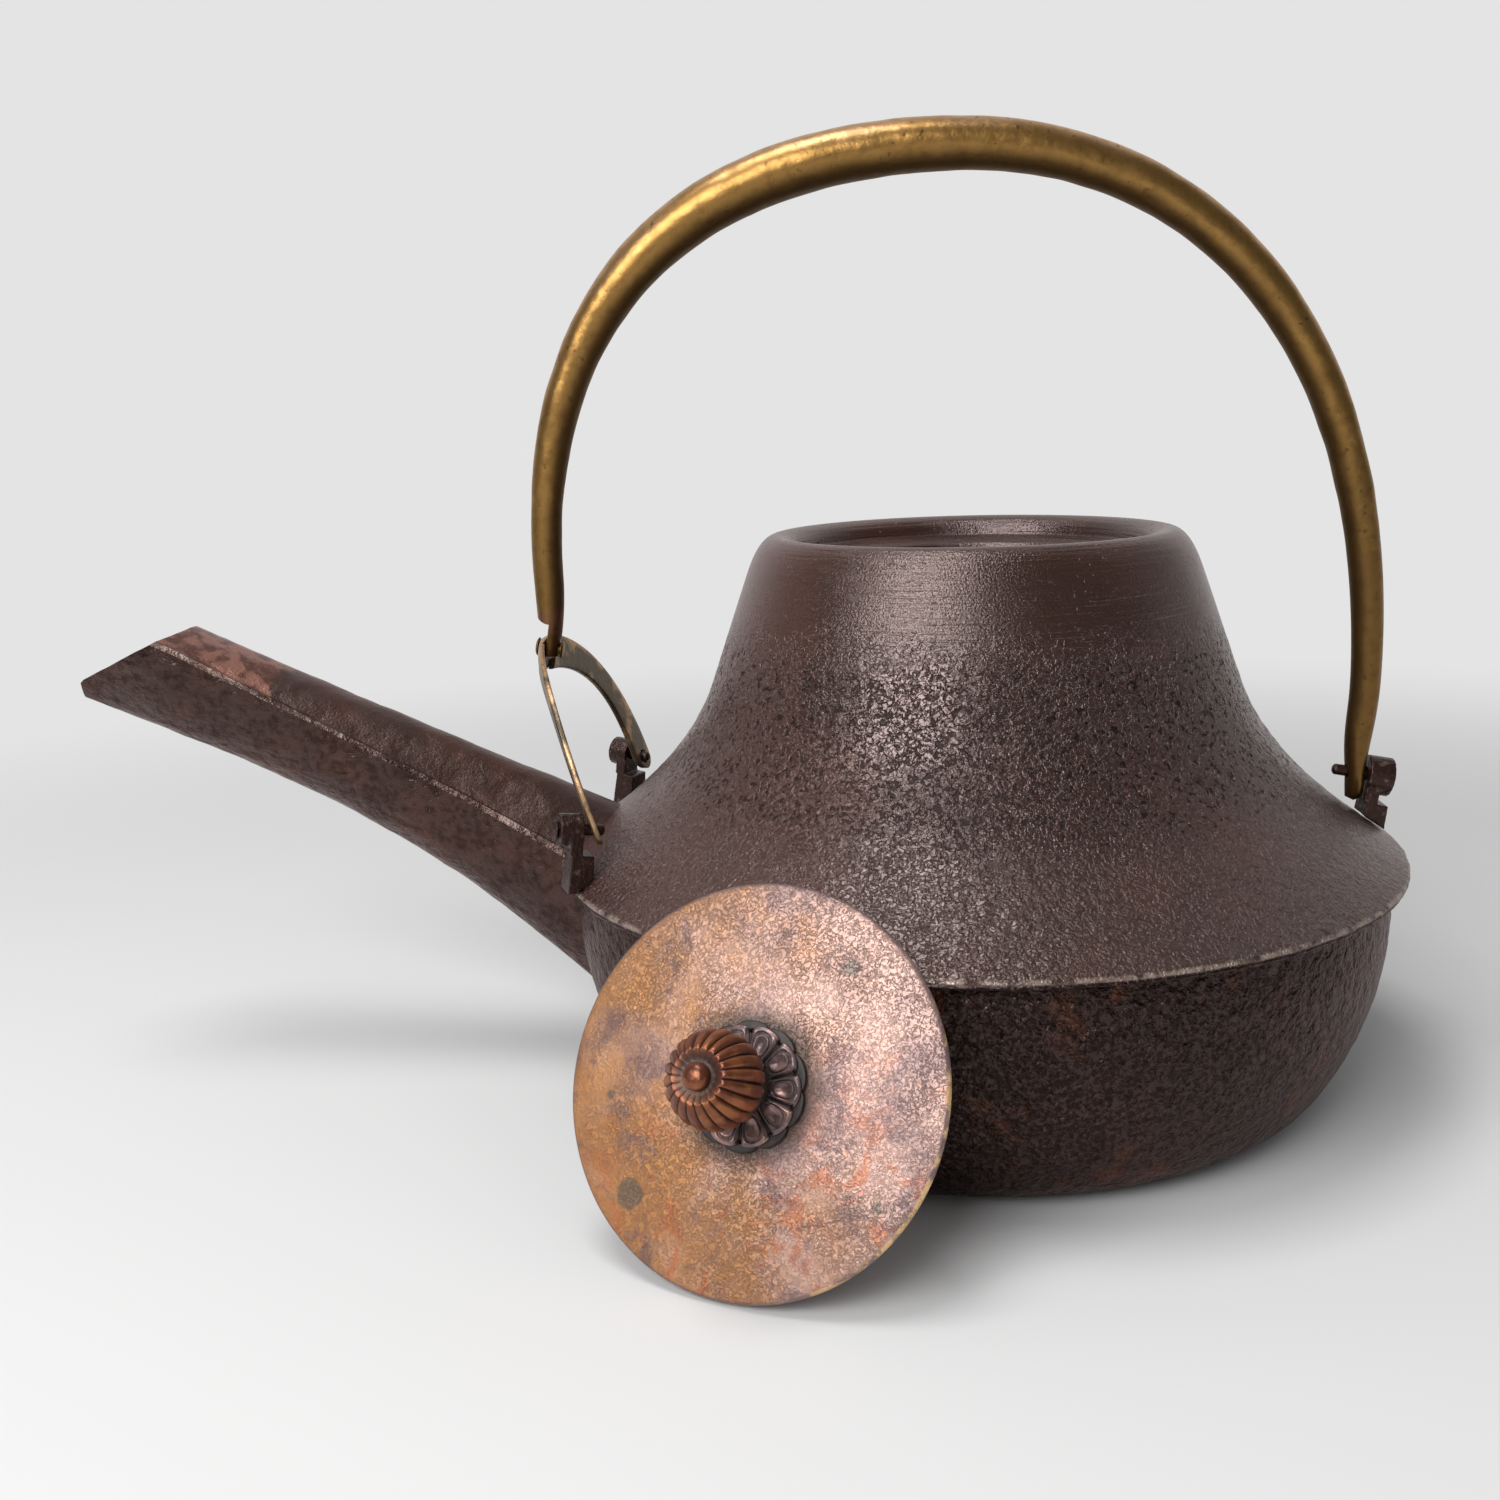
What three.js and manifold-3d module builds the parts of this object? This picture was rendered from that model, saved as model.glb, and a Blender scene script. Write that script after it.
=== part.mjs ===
// Iron sake kettle with a long spout and a brass bail, in millimetres, +Z up.
// The origin is the centre of the base, on the surface that the kettle stands on.
// The spout points along -X. The lid is off and leans on the rim, on the -Y side.
import * as THREE from 'three';
import * as BufferGeometryUtils from 'three/addons/utils/BufferGeometryUtils.js';
import Module from 'manifold-3d';

const wasm = await Module();
wasm.setup();

// Clearances
const SEAT_GAP = 0.3;
const PIN_CLEARANCE = 0.3;
const LID_CLEARANCE = 1.4;

// The main size, across the flange. The insets and overhangs are measured from the flange's edge.
const KETTLE_DIAMETER = 150;
const FLANGE_RADIUS = KETTLE_DIAMETER / 2;

// Kettle body, as radii and heights above the base
const BODY_WALL = 3;
const BASE_RADIUS = FLANGE_RADIUS - 23;
const BASE_CORNER_RADIUS = FLANGE_RADIUS - 10.8;
const BASE_CORNER_HEIGHT = 6.2;
const WALL_TOP_RADIUS = FLANGE_RADIUS - 3.4;
const WALL_BULGE = 2.2;
const FLANGE_HEIGHT = 42;
const FLANGE_THICKNESS = 1.4;
const NECK_FOOT_RADIUS = 46.7;
const NECK_FOOT_HEIGHT = 72;
const NECK_TOP_RADIUS = 39.6;
const NECK_TOP_HEIGHT = 92;
const SHOULDER_BEND_HEIGHT = 56.8;
const RIM_HEIGHT = 98.5;
const RIM_CREST_WIDTH = 3;
const SEAT_DEPTH = 3.6;
const SEAT_FALL = 1.3;
const MOUTH_RADIUS = 27;
const MOUTH_LIP = 2.3;
const LID_RADIUS = 29.3;
const BODY_SEGMENTS = 56;

// Spout, as distances from the kettle's axis and heights above the base
const SPOUT_LIP_REACH = FLANGE_RADIUS + 90;
const SPOUT_LIP_TOP = 74.6;
const SPOUT_LIP_UNDERSIDE = 71.3;
const SPOUT_CREST_REACH = SPOUT_LIP_REACH - 21.5;
const SPOUT_CREST_HEIGHT = 84;
const SPOUT_CREST_ROOT_RADIUS = FLANGE_RADIUS - 10;
const SPOUT_KEEL_ROOT_HEIGHT = 11.5;
const SPOUT_KEEL_TIP_SLOPE = 0.39;
const SPOUT_KEEL_ROOT_SLOPE = 0.95;
const SPOUT_WALL = 2.5;
const SPOUT_LIP_HALF_WIDTH = 3.6;
const SPOUT_HALF_WIDTH = 9.2;
const SPOUT_ROOT_HALF_WIDTH = 12.5;
const SPOUT_TIP_ARCH = 2.4;
const SPOUT_ROOT_ARCH = 9.6;
const SPOUT_NOSE_LENGTH = 20;
const SPOUT_FLARE_LENGTH = 34;

// Ears and their pins. The front pair carries the fork, the rear one the bail.
const FRONT_EAR_ANGLE = 24;
const FRONT_EAR_RADIUS = FLANGE_RADIUS - 2;
const FRONT_EAR_LENGTH = 4;
const FRONT_BARREL_RADIUS = 2.8;
const FRONT_PIN_HEIGHT = 52.5;
const FRONT_PIN_RISE = 0.12;
const FRONT_PIN_TIP_LENGTH = 1.3;
const FRONT_FOOT_START = -2;
const FRONT_FOOT_END = 2.2;
const REAR_EAR_RADIUS = FLANGE_RADIUS - 5.1;
const REAR_EAR_LENGTH = 4.4;
const REAR_BARREL_RADIUS = 3.5;
const REAR_PIN_HEIGHT = 53.3;
const REAR_PIN_TIP_LENGTH = 2.2;
const REAR_FOOT_START = 0.6;
const REAR_FOOT_END = 4.6;
const EAR_NECK_SHARE = 0.55;
const EAR_NOTCH_HEIGHT = 1.2;
const EAR_FOOT_TAPER = 0.3;
const PIN_RADIUS = 1;
const PIN_HEAD_RADIUS = 1.7;
const PIN_HEAD_LENGTH = 0.6;

// Fork, with heights measured up from the front pins
const FORK_THICKNESS = 1;
const FORK_LEAN = 0.33;
const FORK_FOLD = 0.35;
const FORK_FOLD_RADIUS = 8.8;
const FORK_HEIGHT = 28.4;
const FORK_CROWN_RADIUS = FLANGE_RADIUS + 1.8;
const FORK_CROWN_WIDTH = 6.4;
const FORK_LEG_WIDTH = 5.6;
const FORK_OUTER_ROUNDNESS = 2.05;
const FORK_INNER_ROUNDNESS = 2.4;
const RIVET_BELOW_TOP = 1.9;

// Bail
const BAIL_TOP_HEIGHT = 163.1;
const BAIL_TOP_OFFSET = 4.2;
const BAIL_FRONT_HEIGHT = 90;
const BAIL_FRONT_HANDLE = 6.4;
const BAIL_TOP_FRONT_HANDLE = 77;
const BAIL_TOP_REAR_HANDLE = 39.7;
const BAIL_REAR_HEIGHT = 72;
const BAIL_REAR_HANDLE = 62.2;
const BAIL_TOP_DIAMETER = 9.2;
const BAIL_FRONT_DIAMETER = 5.3;
const BAIL_THICKEST_SHARE = 0.4;
const BAIL_REAR_DIAMETER = 4.9;
const BAIL_LEG_BEND = 0.6;
const BAIL_EYE_BEND = 1.1;
const BAIL_END_THICKNESS = 3.6;
const BAIL_TONGUE_THICKNESS = 2;
const BAIL_TONGUE_WIDTH = 5.8;
const BAIL_TONGUE_DROP = 2;
const BAIL_TONGUE_RELIEF = 5.4;
const BAIL_TONGUE_TAPER = 13;
const BAIL_EYE_THICKNESS = 3;
const BAIL_EYE_WIDTH = 6;
const BAIL_EYE_DROP = 5.2;
const BAIL_EYE_RELIEF = 5.9;
const BAIL_EYE_TAPER = 11;
const BAIL_SIDES = 12;

// Lid, its flower washer, its knob and what clenches them
const LID_THICKNESS = 1.2;
const LID_DOME = 1.2;
const LID_LEAN = 27;
const LID_AZIMUTH = -112.3;
const LID_SIDE_SHIFT = -4.2;
const LID_SEGMENTS = 48;
const STUD_RADIUS = 1.3;
const NUB_RADIUS = 1.9;
const NUB_HEIGHT = 1.6;
const FLOWER_RADIUS = 9.2;
const FLOWER_THICKNESS = 1.1;
const FLOWER_PETALS = 10;
const FLOWER_PETAL_DEPTH = 0.9;
const FLOWER_OVER_SHARE = 0.93;
const KNOB_RADIUS = 6.9;
const KNOB_HEIGHT = 12;
const KNOB_NECK_RADIUS = 3;
const KNOB_NECK_HEIGHT = 3.2;
const KNOB_RIBS = 20;
const KNOB_RIB_DEPTH = 0.45;
const KNOB_DIMPLE_RADIUS = 3.2;
const KNOB_DIMPLE_DEPTH = 0.9;
const WASHER_RADIUS = 4.6;
const WASHER_THICKNESS = 0.9;
const CLENCH_RADIUS = 2.3;
const CLENCH_HEIGHT = 1;

const IRON = new THREE.MeshStandardMaterial({ color: 0x3a2a26, roughness: 0.55, metalness: 0.6 });
const SPOUT_IRON = new THREE.MeshStandardMaterial({ color: 0x33241f, roughness: 0.6, metalness: 0.5 });
const DARK_IRON = new THREE.MeshStandardMaterial({ color: 0x2c2422, roughness: 0.45, metalness: 0.7 });
const BRASS = new THREE.MeshStandardMaterial({ color: 0x8a6a35, roughness: 0.4, metalness: 0.9 });
const DULL_BRASS = new THREE.MeshStandardMaterial({ color: 0x6b5c3f, roughness: 0.5, metalness: 0.8 });
const LID_BRONZE = new THREE.MeshStandardMaterial({ color: 0xa87452, roughness: 0.5, metalness: 0.8 });
const FLOWER_COPPER = new THREE.MeshStandardMaterial({ color: 0x5a4a48, roughness: 0.5, metalness: 0.7 });
const KNOB_COPPER = new THREE.MeshStandardMaterial({ color: 0x7a4326, roughness: 0.35, metalness: 0.8 });

const point = (x, y) => new THREE.Vector2(x, y);
const vector = (x, y, z) => new THREE.Vector3(x, y, z);
const mix = THREE.MathUtils.lerp;
const ease = THREE.MathUtils.smoothstep;
const radians = THREE.MathUtils.degToRad;

// A closed geometry becomes a solid: shared corners are merged, flat triangles dropped.
function solid(geometry) {
  const bare = new THREE.BufferGeometry();
  bare.setAttribute('position', geometry.getAttribute('position'));
  if (geometry.index) bare.setIndex(geometry.index);
  const merged = BufferGeometryUtils.mergeVertices(bare, 1e-4);
  const corners = merged.getAttribute('position');
  const index = merged.index.array;
  const triangles = [];
  const a = new THREE.Vector3();
  const b = new THREE.Vector3();
  const c = new THREE.Vector3();
  let volume = 0;
  for (let i = 0; i < index.length; i += 3) {
    const [p, q, r] = [index[i], index[i + 1], index[i + 2]];
    if (p === q || q === r || r === p) continue;
    triangles.push(p, q, r);
    a.fromBufferAttribute(corners, p);
    b.fromBufferAttribute(corners, q);
    c.fromBufferAttribute(corners, r);
    volume += a.dot(b.cross(c));
  }
  if (volume < 0) triangles.reverse();
  return new wasm.Manifold(new wasm.Mesh({
    numProp: 3,
    vertProperties: new Float32Array(corners.array),
    triVerts: new Uint32Array(triangles),
  }));
}

function piece(name, body, material) {
  const { vertProperties, triVerts } = body.getMesh();
  const geometry = new THREE.BufferGeometry();
  geometry.setAttribute('position', new THREE.BufferAttribute(vertProperties, 3));
  geometry.setIndex(new THREE.BufferAttribute(triVerts, 1));
  geometry.computeVertexNormals();
  const mesh = new THREE.Mesh(geometry, material);
  mesh.name = name;
  return mesh;
}

// A profile of radius and height turned round the Z axis.
function revolve(profile, segments) {
  return new THREE.LatheGeometry(profile, segments).rotateX(Math.PI / 2);
}

// A skin over rings of points. It closes on itself, or has a fan at each end.
function loft(rings, loops = false) {
  const count = rings[0].length;
  const corners = rings.flat();
  const index = [];
  const bands = loops ? rings.length : rings.length - 1;
  for (let i = 0; i < bands; i += 1) {
    const next = (i + 1) % rings.length;
    for (let j = 0; j < count; j += 1) {
      const k = (j + 1) % count;
      const [p, q, r, s] = [i * count + j, i * count + k, next * count + j, next * count + k];
      index.push(p, q, r, q, s, r);
    }
  }
  if (loops) return new THREE.BufferGeometry().setFromPoints(corners).setIndex(index);
  const last = (rings.length - 1) * count;
  const ends = [[0, rings[0], false], [last, rings[rings.length - 1], true]];
  for (const [start, ring, turned] of ends) {
    const centre = ring.reduce((sum, corner) => sum.add(corner), new THREE.Vector3());
    corners.push(centre.divideScalar(count));
    const hub = corners.length - 1;
    for (let j = 0; j < count; j += 1) {
      const k = (j + 1) % count;
      if (turned) index.push(hub, start + j, start + k);
      else index.push(hub, start + k, start + j);
    }
  }
  return new THREE.BufferGeometry().setFromPoints(corners).setIndex(index);
}

// Each point of an open line moved to its right by a distance.
function beside(line, distance) {
  return line.map((here, i) => {
    const before = line[Math.max(i - 1, 0)];
    const after = line[Math.min(i + 1, line.length - 1)];
    const along = after.clone().sub(before).normalize();
    return point(here.x + along.y * distance, here.y - along.x * distance);
  });
}

// Kettle body. The neck is straight and runs tangent into the shoulder's curve.
const neckSlope = (NECK_FOOT_RADIUS - NECK_TOP_RADIUS) / (NECK_TOP_HEIGHT - NECK_FOOT_HEIGHT);
const shoulderBend = point(
  NECK_FOOT_RADIUS + neckSlope * (NECK_FOOT_HEIGHT - SHOULDER_BEND_HEIGHT),
  SHOULDER_BEND_HEIGHT,
);
const shoulderCurve = new THREE.QuadraticBezierCurve(
  point(FLANGE_RADIUS, FLANGE_HEIGHT),
  shoulderBend,
  point(NECK_FOOT_RADIUS, NECK_FOOT_HEIGHT),
);
const wallTopHeight = FLANGE_HEIGHT - FLANGE_THICKNESS;
const wallCurve = new THREE.CubicBezierCurve(
  point(BASE_CORNER_RADIUS, BASE_CORNER_HEIGHT),
  point(mix(BASE_CORNER_RADIUS, WALL_TOP_RADIUS, 0.65), mix(BASE_CORNER_HEIGHT, wallTopHeight, 0.23)),
  point(WALL_TOP_RADIUS + WALL_BULGE, mix(BASE_CORNER_HEIGHT, wallTopHeight, 0.6)),
  point(WALL_TOP_RADIUS, wallTopHeight),
);

// The point of a curve at which one of its coordinates has a value.
function crossing(curve, axis, value) {
  const rises = curve.getPoint(1)[axis] > curve.getPoint(0)[axis];
  let [near, far] = [0, 1];
  for (let i = 0; i < 30; i += 1) {
    const middle = (near + far) / 2;
    if ((curve.getPoint(middle)[axis] < value) === rises) near = middle;
    else far = middle;
  }
  return curve.getPoint(near);
}

function baseRounding() {
  const tangent = wallCurve.getTangent(0);
  const corner = BASE_CORNER_RADIUS - tangent.x / tangent.y * BASE_CORNER_HEIGHT;
  return new THREE.QuadraticBezierCurve(
    point(BASE_RADIUS, 0),
    point(corner, 0),
    point(BASE_CORNER_RADIUS, BASE_CORNER_HEIGHT),
  );
}

function lowerWall() {
  return [...baseRounding().getPoints(4), ...wallCurve.getPoints(5).slice(1)];
}

function neckAndShoulder() {
  return [...shoulderCurve.getPoints(8), point(NECK_TOP_RADIUS, NECK_TOP_HEIGHT)];
}

const rimCrestRadius = NECK_TOP_RADIUS - neckSlope * (RIM_HEIGHT - NECK_TOP_HEIGHT) - RIM_CREST_WIDTH;
const seatRadius = LID_RADIUS + LID_CLEARANCE;

function rimAndSeat() {
  const rim = new THREE.QuadraticBezierCurve(
    point(NECK_TOP_RADIUS, NECK_TOP_HEIGHT),
    point(NECK_TOP_RADIUS - neckSlope * (RIM_HEIGHT - NECK_TOP_HEIGHT), RIM_HEIGHT),
    point(rimCrestRadius, RIM_HEIGHT),
  );
  const seatHeight = RIM_HEIGHT - SEAT_DEPTH;
  return [
    ...rim.getPoints(4).slice(1),
    point(seatRadius, seatHeight + LID_CLEARANCE),
    point(seatRadius, seatHeight),
    point(MOUTH_RADIUS, seatHeight - SEAT_FALL),
    point(MOUTH_RADIUS, seatHeight - SEAT_FALL - MOUTH_LIP),
  ];
}

// The hollow keeps the wall's thickness, from under the seat down to the floor.
function insideLine() {
  const roof = RIM_HEIGHT - SEAT_DEPTH - SEAT_FALL - MOUTH_LIP * 1.8;
  const wall = BODY_WALL * Math.hypot(1, neckSlope);
  const neckTop = point(NECK_TOP_RADIUS + neckSlope * (NECK_TOP_HEIGHT - roof) - wall, roof);
  const upper = beside(neckAndShoulder(), -BODY_WALL).slice(0, -1).reverse();
  const lower = beside(lowerWall(), -BODY_WALL).reverse();
  return [neckTop, ...upper.filter((spot) => spot.x < lower[0].x), ...lower];
}

function kettleBody(bore) {
  const outline = [
    point(0, 0),
    ...lowerWall(),
    point(FLANGE_RADIUS, wallTopHeight + FLANGE_THICKNESS / 3),
    ...neckAndShoulder(),
    ...rimAndSeat(),
    ...insideLine(),
    point(0, BODY_WALL),
  ];
  return solid(revolve(outline, BODY_SEGMENTS)).subtract(bore);
}

// The body's outer form without its hollow, larger all over by the seat gap.
function seatForm() {
  const outline = [
    ...lowerWall(),
    point(FLANGE_RADIUS, wallTopHeight + FLANGE_THICKNESS / 3),
    ...neckAndShoulder(),
  ];
  const grown = beside(outline, SEAT_GAP);
  const top = grown[grown.length - 1].y;
  return solid(revolve([point(0, -SEAT_GAP), ...grown, point(0, top)], BODY_SEGMENTS));
}

// Spout. Its sections are upright; distance is measured out from the kettle's axis.
const spoutKeelEnd = crossing(wallCurve, 'y', SPOUT_KEEL_ROOT_HEIGHT).x - BODY_WALL * 1.5;
const spoutKeelCurve = (() => {
  const run = SPOUT_LIP_REACH - spoutKeelEnd;
  const endHeight = SPOUT_KEEL_ROOT_HEIGHT - SPOUT_KEEL_ROOT_SLOPE * BODY_WALL * 1.5;
  const tipHandle = run * 0.56;
  const rootHandle = run * 0.3;
  return new THREE.CubicBezierCurve(
    point(SPOUT_LIP_REACH, SPOUT_LIP_UNDERSIDE),
    point(SPOUT_LIP_REACH - tipHandle, SPOUT_LIP_UNDERSIDE - tipHandle * SPOUT_KEEL_TIP_SLOPE),
    point(spoutKeelEnd + rootHandle, endHeight + rootHandle * SPOUT_KEEL_ROOT_SLOPE),
    point(spoutKeelEnd, endHeight),
  );
})();
const spoutCrestSlope = (SPOUT_CREST_HEIGHT - crossing(shoulderCurve, 'x', SPOUT_CREST_ROOT_RADIUS).y)
  / (SPOUT_CREST_REACH - SPOUT_CREST_ROOT_RADIUS);

function spoutSection(share, wall, extra) {
  const keel = spoutKeelCurve.getPoint(share);
  const reach = keel.x + extra;
  const crest = SPOUT_CREST_HEIGHT - spoutCrestSlope * (SPOUT_CREST_REACH - reach);
  const along = (reach - SPOUT_CREST_ROOT_RADIUS) / (SPOUT_CREST_REACH - SPOUT_CREST_ROOT_RADIUS);
  const arch = mix(SPOUT_ROOT_ARCH, SPOUT_TIP_ARCH, Math.min(along, 1));
  const nose = ease(SPOUT_LIP_REACH - reach, 0, SPOUT_NOSE_LENGTH);
  const flare = 1 - ease(reach, spoutKeelEnd, spoutKeelEnd + SPOUT_FLARE_LENGTH);
  const full = mix(SPOUT_HALF_WIDTH, SPOUT_ROOT_HALF_WIDTH, flare);
  const half = mix(SPOUT_LIP_HALF_WIDTH, full, Math.sqrt(nose)) - wall;
  const slope = spoutKeelCurve.getTangent(share);
  const floor = keel.y + wall / Math.abs(slope.x);
  const roof = crest - wall / Math.cos(Math.atan(spoutCrestSlope));
  const ridge = Math.max(roof - arch, mix(floor, roof, 0.5));
  return { reach, half, roof, floor, ridge };
}

function spoutRing({ reach, half, roof, floor, ridge }) {
  const ring = [];
  const steps = 9;
  for (let i = 0; i < steps; i += 1) {
    const angle = Math.PI * i / steps;
    const across = Math.cos(angle);
    ring.push(vector(-reach, half * across, ridge + (roof - ridge) * (1 - across * across)));
  }
  for (let i = 0; i < steps; i += 1) {
    const angle = Math.PI * (1 + i / steps);
    const across = Math.sign(Math.cos(angle)) * Math.abs(Math.cos(angle)) ** 1.15;
    const down = Math.abs(Math.sin(angle)) ** 1.15;
    ring.push(vector(-reach, half * across, ridge - (ridge - floor) * down));
  }
  return ring;
}

function spoutLoft(wall, beyondTip, beyondRoot) {
  const stations = [0, 0.03, 0.07, 0.13, 0.22, 0.34, 0.46, 0.58, 0.7, 0.8, 0.88, 0.94, 1];
  const rings = stations.map((share) => spoutRing(spoutSection(share, wall, 0)));
  if (beyondTip) rings.unshift(rings[0].map((spot) => spot.clone().setX(spot.x - beyondTip)));
  if (beyondRoot) rings.push(rings[rings.length - 1].map((spot) => spot.clone().setX(spot.x + beyondRoot)));
  return solid(loft(rings));
}

// The mouth is one slanting cut from the crest down to the lip.
function spoutMouthCut() {
  const rise = (SPOUT_CREST_HEIGHT - SPOUT_LIP_TOP) / (SPOUT_LIP_REACH - SPOUT_CREST_REACH);
  const length = (SPOUT_LIP_REACH - SPOUT_CREST_REACH) * 4;
  const height = SPOUT_CREST_HEIGHT / 2;
  const cut = new THREE.BoxGeometry(length, SPOUT_ROOT_HALF_WIDTH * 4, height).translate(0, 0, height / 2);
  cut.rotateY(-Math.atan(rise));
  return solid(cut.translate(-SPOUT_CREST_REACH, 0, SPOUT_CREST_HEIGHT));
}

function spoutBore() {
  return spoutLoft(SPOUT_WALL, BODY_WALL, BODY_WALL * 2);
}

function spout(bore, seat) {
  return spoutLoft(0, 0, 0).subtract(bore).subtract(spoutMouthCut()).subtract(seat);
}

// Lines that the pins lie on. Each frame has X out along the pin and Z up.
const rivetHeight = FRONT_PIN_HEIGHT + FORK_HEIGHT - RIVET_BELOW_TOP;
const rivetPoint = vector(-FORK_CROWN_RADIUS, 0, rivetHeight);
const rearPinPoint = vector(REAR_EAR_RADIUS, 0, REAR_PIN_HEIGHT);
const swingAxis = rearPinPoint.clone().sub(rivetPoint).normalize();
const swingFall = -swingAxis.z / swingAxis.x;
const swingUp = swingAxis.clone().cross(vector(0, 1, 0));

function pinFrame(angle, radius, height, fall) {
  const turn = radians(angle);
  const outward = vector(Math.cos(turn), Math.sin(turn), 0);
  const origin = outward.clone().multiplyScalar(radius).setZ(height);
  const along = outward.clone().setZ(-fall).normalize();
  const across = vector(-Math.sin(turn), Math.cos(turn), 0);
  const up = along.clone().cross(across);
  return new THREE.Matrix4().makeBasis(along, across, up).setPosition(origin);
}

const pinFrames = {
  rear: pinFrame(0, REAR_EAR_RADIUS, REAR_PIN_HEIGHT, swingFall),
  frontLeft: pinFrame(180 + FRONT_EAR_ANGLE, FRONT_EAR_RADIUS, FRONT_PIN_HEIGHT, -FRONT_PIN_RISE),
  frontRight: pinFrame(180 - FRONT_EAR_ANGLE, FRONT_EAR_RADIUS, FRONT_PIN_HEIGHT, -FRONT_PIN_RISE),
};
const rivetFrame = new THREE.Matrix4()
  .makeBasis(swingAxis, vector(0, 1, 0), swingUp)
  .setPosition(rivetPoint);

// A round bar along a frame's X axis.
function bar(radius, start, end, frame, segments = 20) {
  const shape = new THREE.CylinderGeometry(radius, radius, end - start, segments);
  shape.rotateZ(-Math.PI / 2).translate((start + end) / 2, 0, 0);
  return solid(shape.applyMatrix4(frame));
}

// Ear: a barrel round the pin, a thin neck under it and a foot on the shoulder.
function ear(frame, size, seat) {
  const { barrelRadius, length, height, footStart, footEnd } = size;
  const depth = height - FLANGE_HEIGHT;
  const footTop = barrelRadius + EAR_NOTCH_HEIGHT;
  const neck = length * EAR_NECK_SHARE;
  const side = new THREE.Shape([
    point(footStart, -depth),
    point(footEnd, -depth),
    point(footEnd - EAR_FOOT_TAPER, -footTop),
    point(neck, -footTop),
    point(neck, 0),
    point(0, 0),
    point(0, -footTop),
    point(footStart, -footTop),
  ]);
  const plate = new THREE.ExtrudeGeometry(side, { depth: barrelRadius * 2, bevelEnabled: false });
  plate.translate(0, 0, -barrelRadius).rotateX(Math.PI / 2).applyMatrix4(frame);
  const barrel = bar(barrelRadius, 0, length, frame);
  const hole = bar(PIN_RADIUS + PIN_CLEARANCE, -length, length * 2, frame, 16);
  return barrel.add(solid(plate).intersect(earOutline(frame, size))).subtract(hole).subtract(seat);
}

// Seen along the pin, the ear narrows from its foot to the neck below its barrel.
function earOutline(frame, { barrelRadius, length, height }) {
  const depth = height - FLANGE_HEIGHT;
  const neck = barrelRadius * 0.86;
  const footTop = -barrelRadius - EAR_NOTCH_HEIGHT;
  const outline = new THREE.Shape([
    point(-barrelRadius, -depth),
    point(barrelRadius, -depth),
    point(barrelRadius - EAR_FOOT_TAPER, footTop),
    point(neck, -barrelRadius / 2),
    point(neck, 0),
    point(-neck, 0),
    point(-neck, -barrelRadius / 2),
    point(-barrelRadius + EAR_FOOT_TAPER, footTop),
  ]);
  const block = new THREE.ExtrudeGeometry(outline, { depth: length * 3, bevelEnabled: false });
  const turned = new THREE.Matrix4().makeBasis(vector(0, 1, 0), vector(0, 0, 1), vector(1, 0, 0));
  return solid(block.applyMatrix4(turned).translate(-length, 0, 0).applyMatrix4(frame));
}

const frontEar = {
  barrelRadius: FRONT_BARREL_RADIUS,
  length: FRONT_EAR_LENGTH,
  height: FRONT_PIN_HEIGHT,
  footStart: FRONT_FOOT_START,
  footEnd: FRONT_FOOT_END,
};
const rearEar = {
  barrelRadius: REAR_BARREL_RADIUS,
  length: REAR_EAR_LENGTH,
  height: REAR_PIN_HEIGHT,
  footStart: REAR_FOOT_START,
  footEnd: REAR_FOOT_END,
};

// Half of a low head's outline. The sign of its length says which way it points.
function headOutline(base, length) {
  return [
    point(PIN_RADIUS, base),
    point(PIN_HEAD_RADIUS, base),
    point(PIN_HEAD_RADIUS, base + length * 0.35),
    point(PIN_HEAD_RADIUS * 0.72, base + length * 0.8),
    point(0, base + length),
  ];
}

function tipOutline(start) {
  return [point(PIN_RADIUS, start + PIN_RADIUS * 0.4), point(PIN_RADIUS * 0.6, start), point(0, start)];
}

// A pin along a frame's X axis, from the outline of its near end to that of its far end.
function pin(frame, near, far) {
  const shape = new THREE.LatheGeometry([...near.reverse(), ...far], 16).rotateZ(-Math.PI / 2);
  return solid(shape.applyMatrix4(frame));
}

// The fork's plate is measured along X. It leans, so it stands off the ears at its pins.
const forkDepth = FORK_THICKNESS * Math.hypot(1, FORK_FOLD, FORK_LEAN);
const forkTurn = Math.tan(radians(FRONT_EAR_ANGLE)) - FORK_FOLD;
const forkStandOff = FRONT_BARREL_RADIUS * Math.hypot(FORK_LEAN + FRONT_PIN_RISE, forkTurn);

function frontPin(frame) {
  const reach = SEAT_GAP + forkStandOff + forkDepth + FRONT_PIN_TIP_LENGTH;
  return pin(frame, tipOutline(-reach), headOutline(FRONT_EAR_LENGTH + SEAT_GAP, PIN_HEAD_LENGTH));
}

function rearPin() {
  const reach = SEAT_GAP * 2 + BAIL_EYE_THICKNESS + REAR_PIN_TIP_LENGTH;
  const head = headOutline(REAR_EAR_LENGTH + SEAT_GAP, PIN_HEAD_LENGTH);
  return pin(pinFrames.rear, tipOutline(-reach), head);
}

function crownRivet() {
  const outer = headOutline(-forkDepth - SEAT_GAP, -PIN_HEAD_LENGTH);
  return pin(rivetFrame, outer, headOutline(BAIL_TONGUE_THICKNESS + SEAT_GAP * 2, PIN_HEAD_LENGTH));
}

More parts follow.
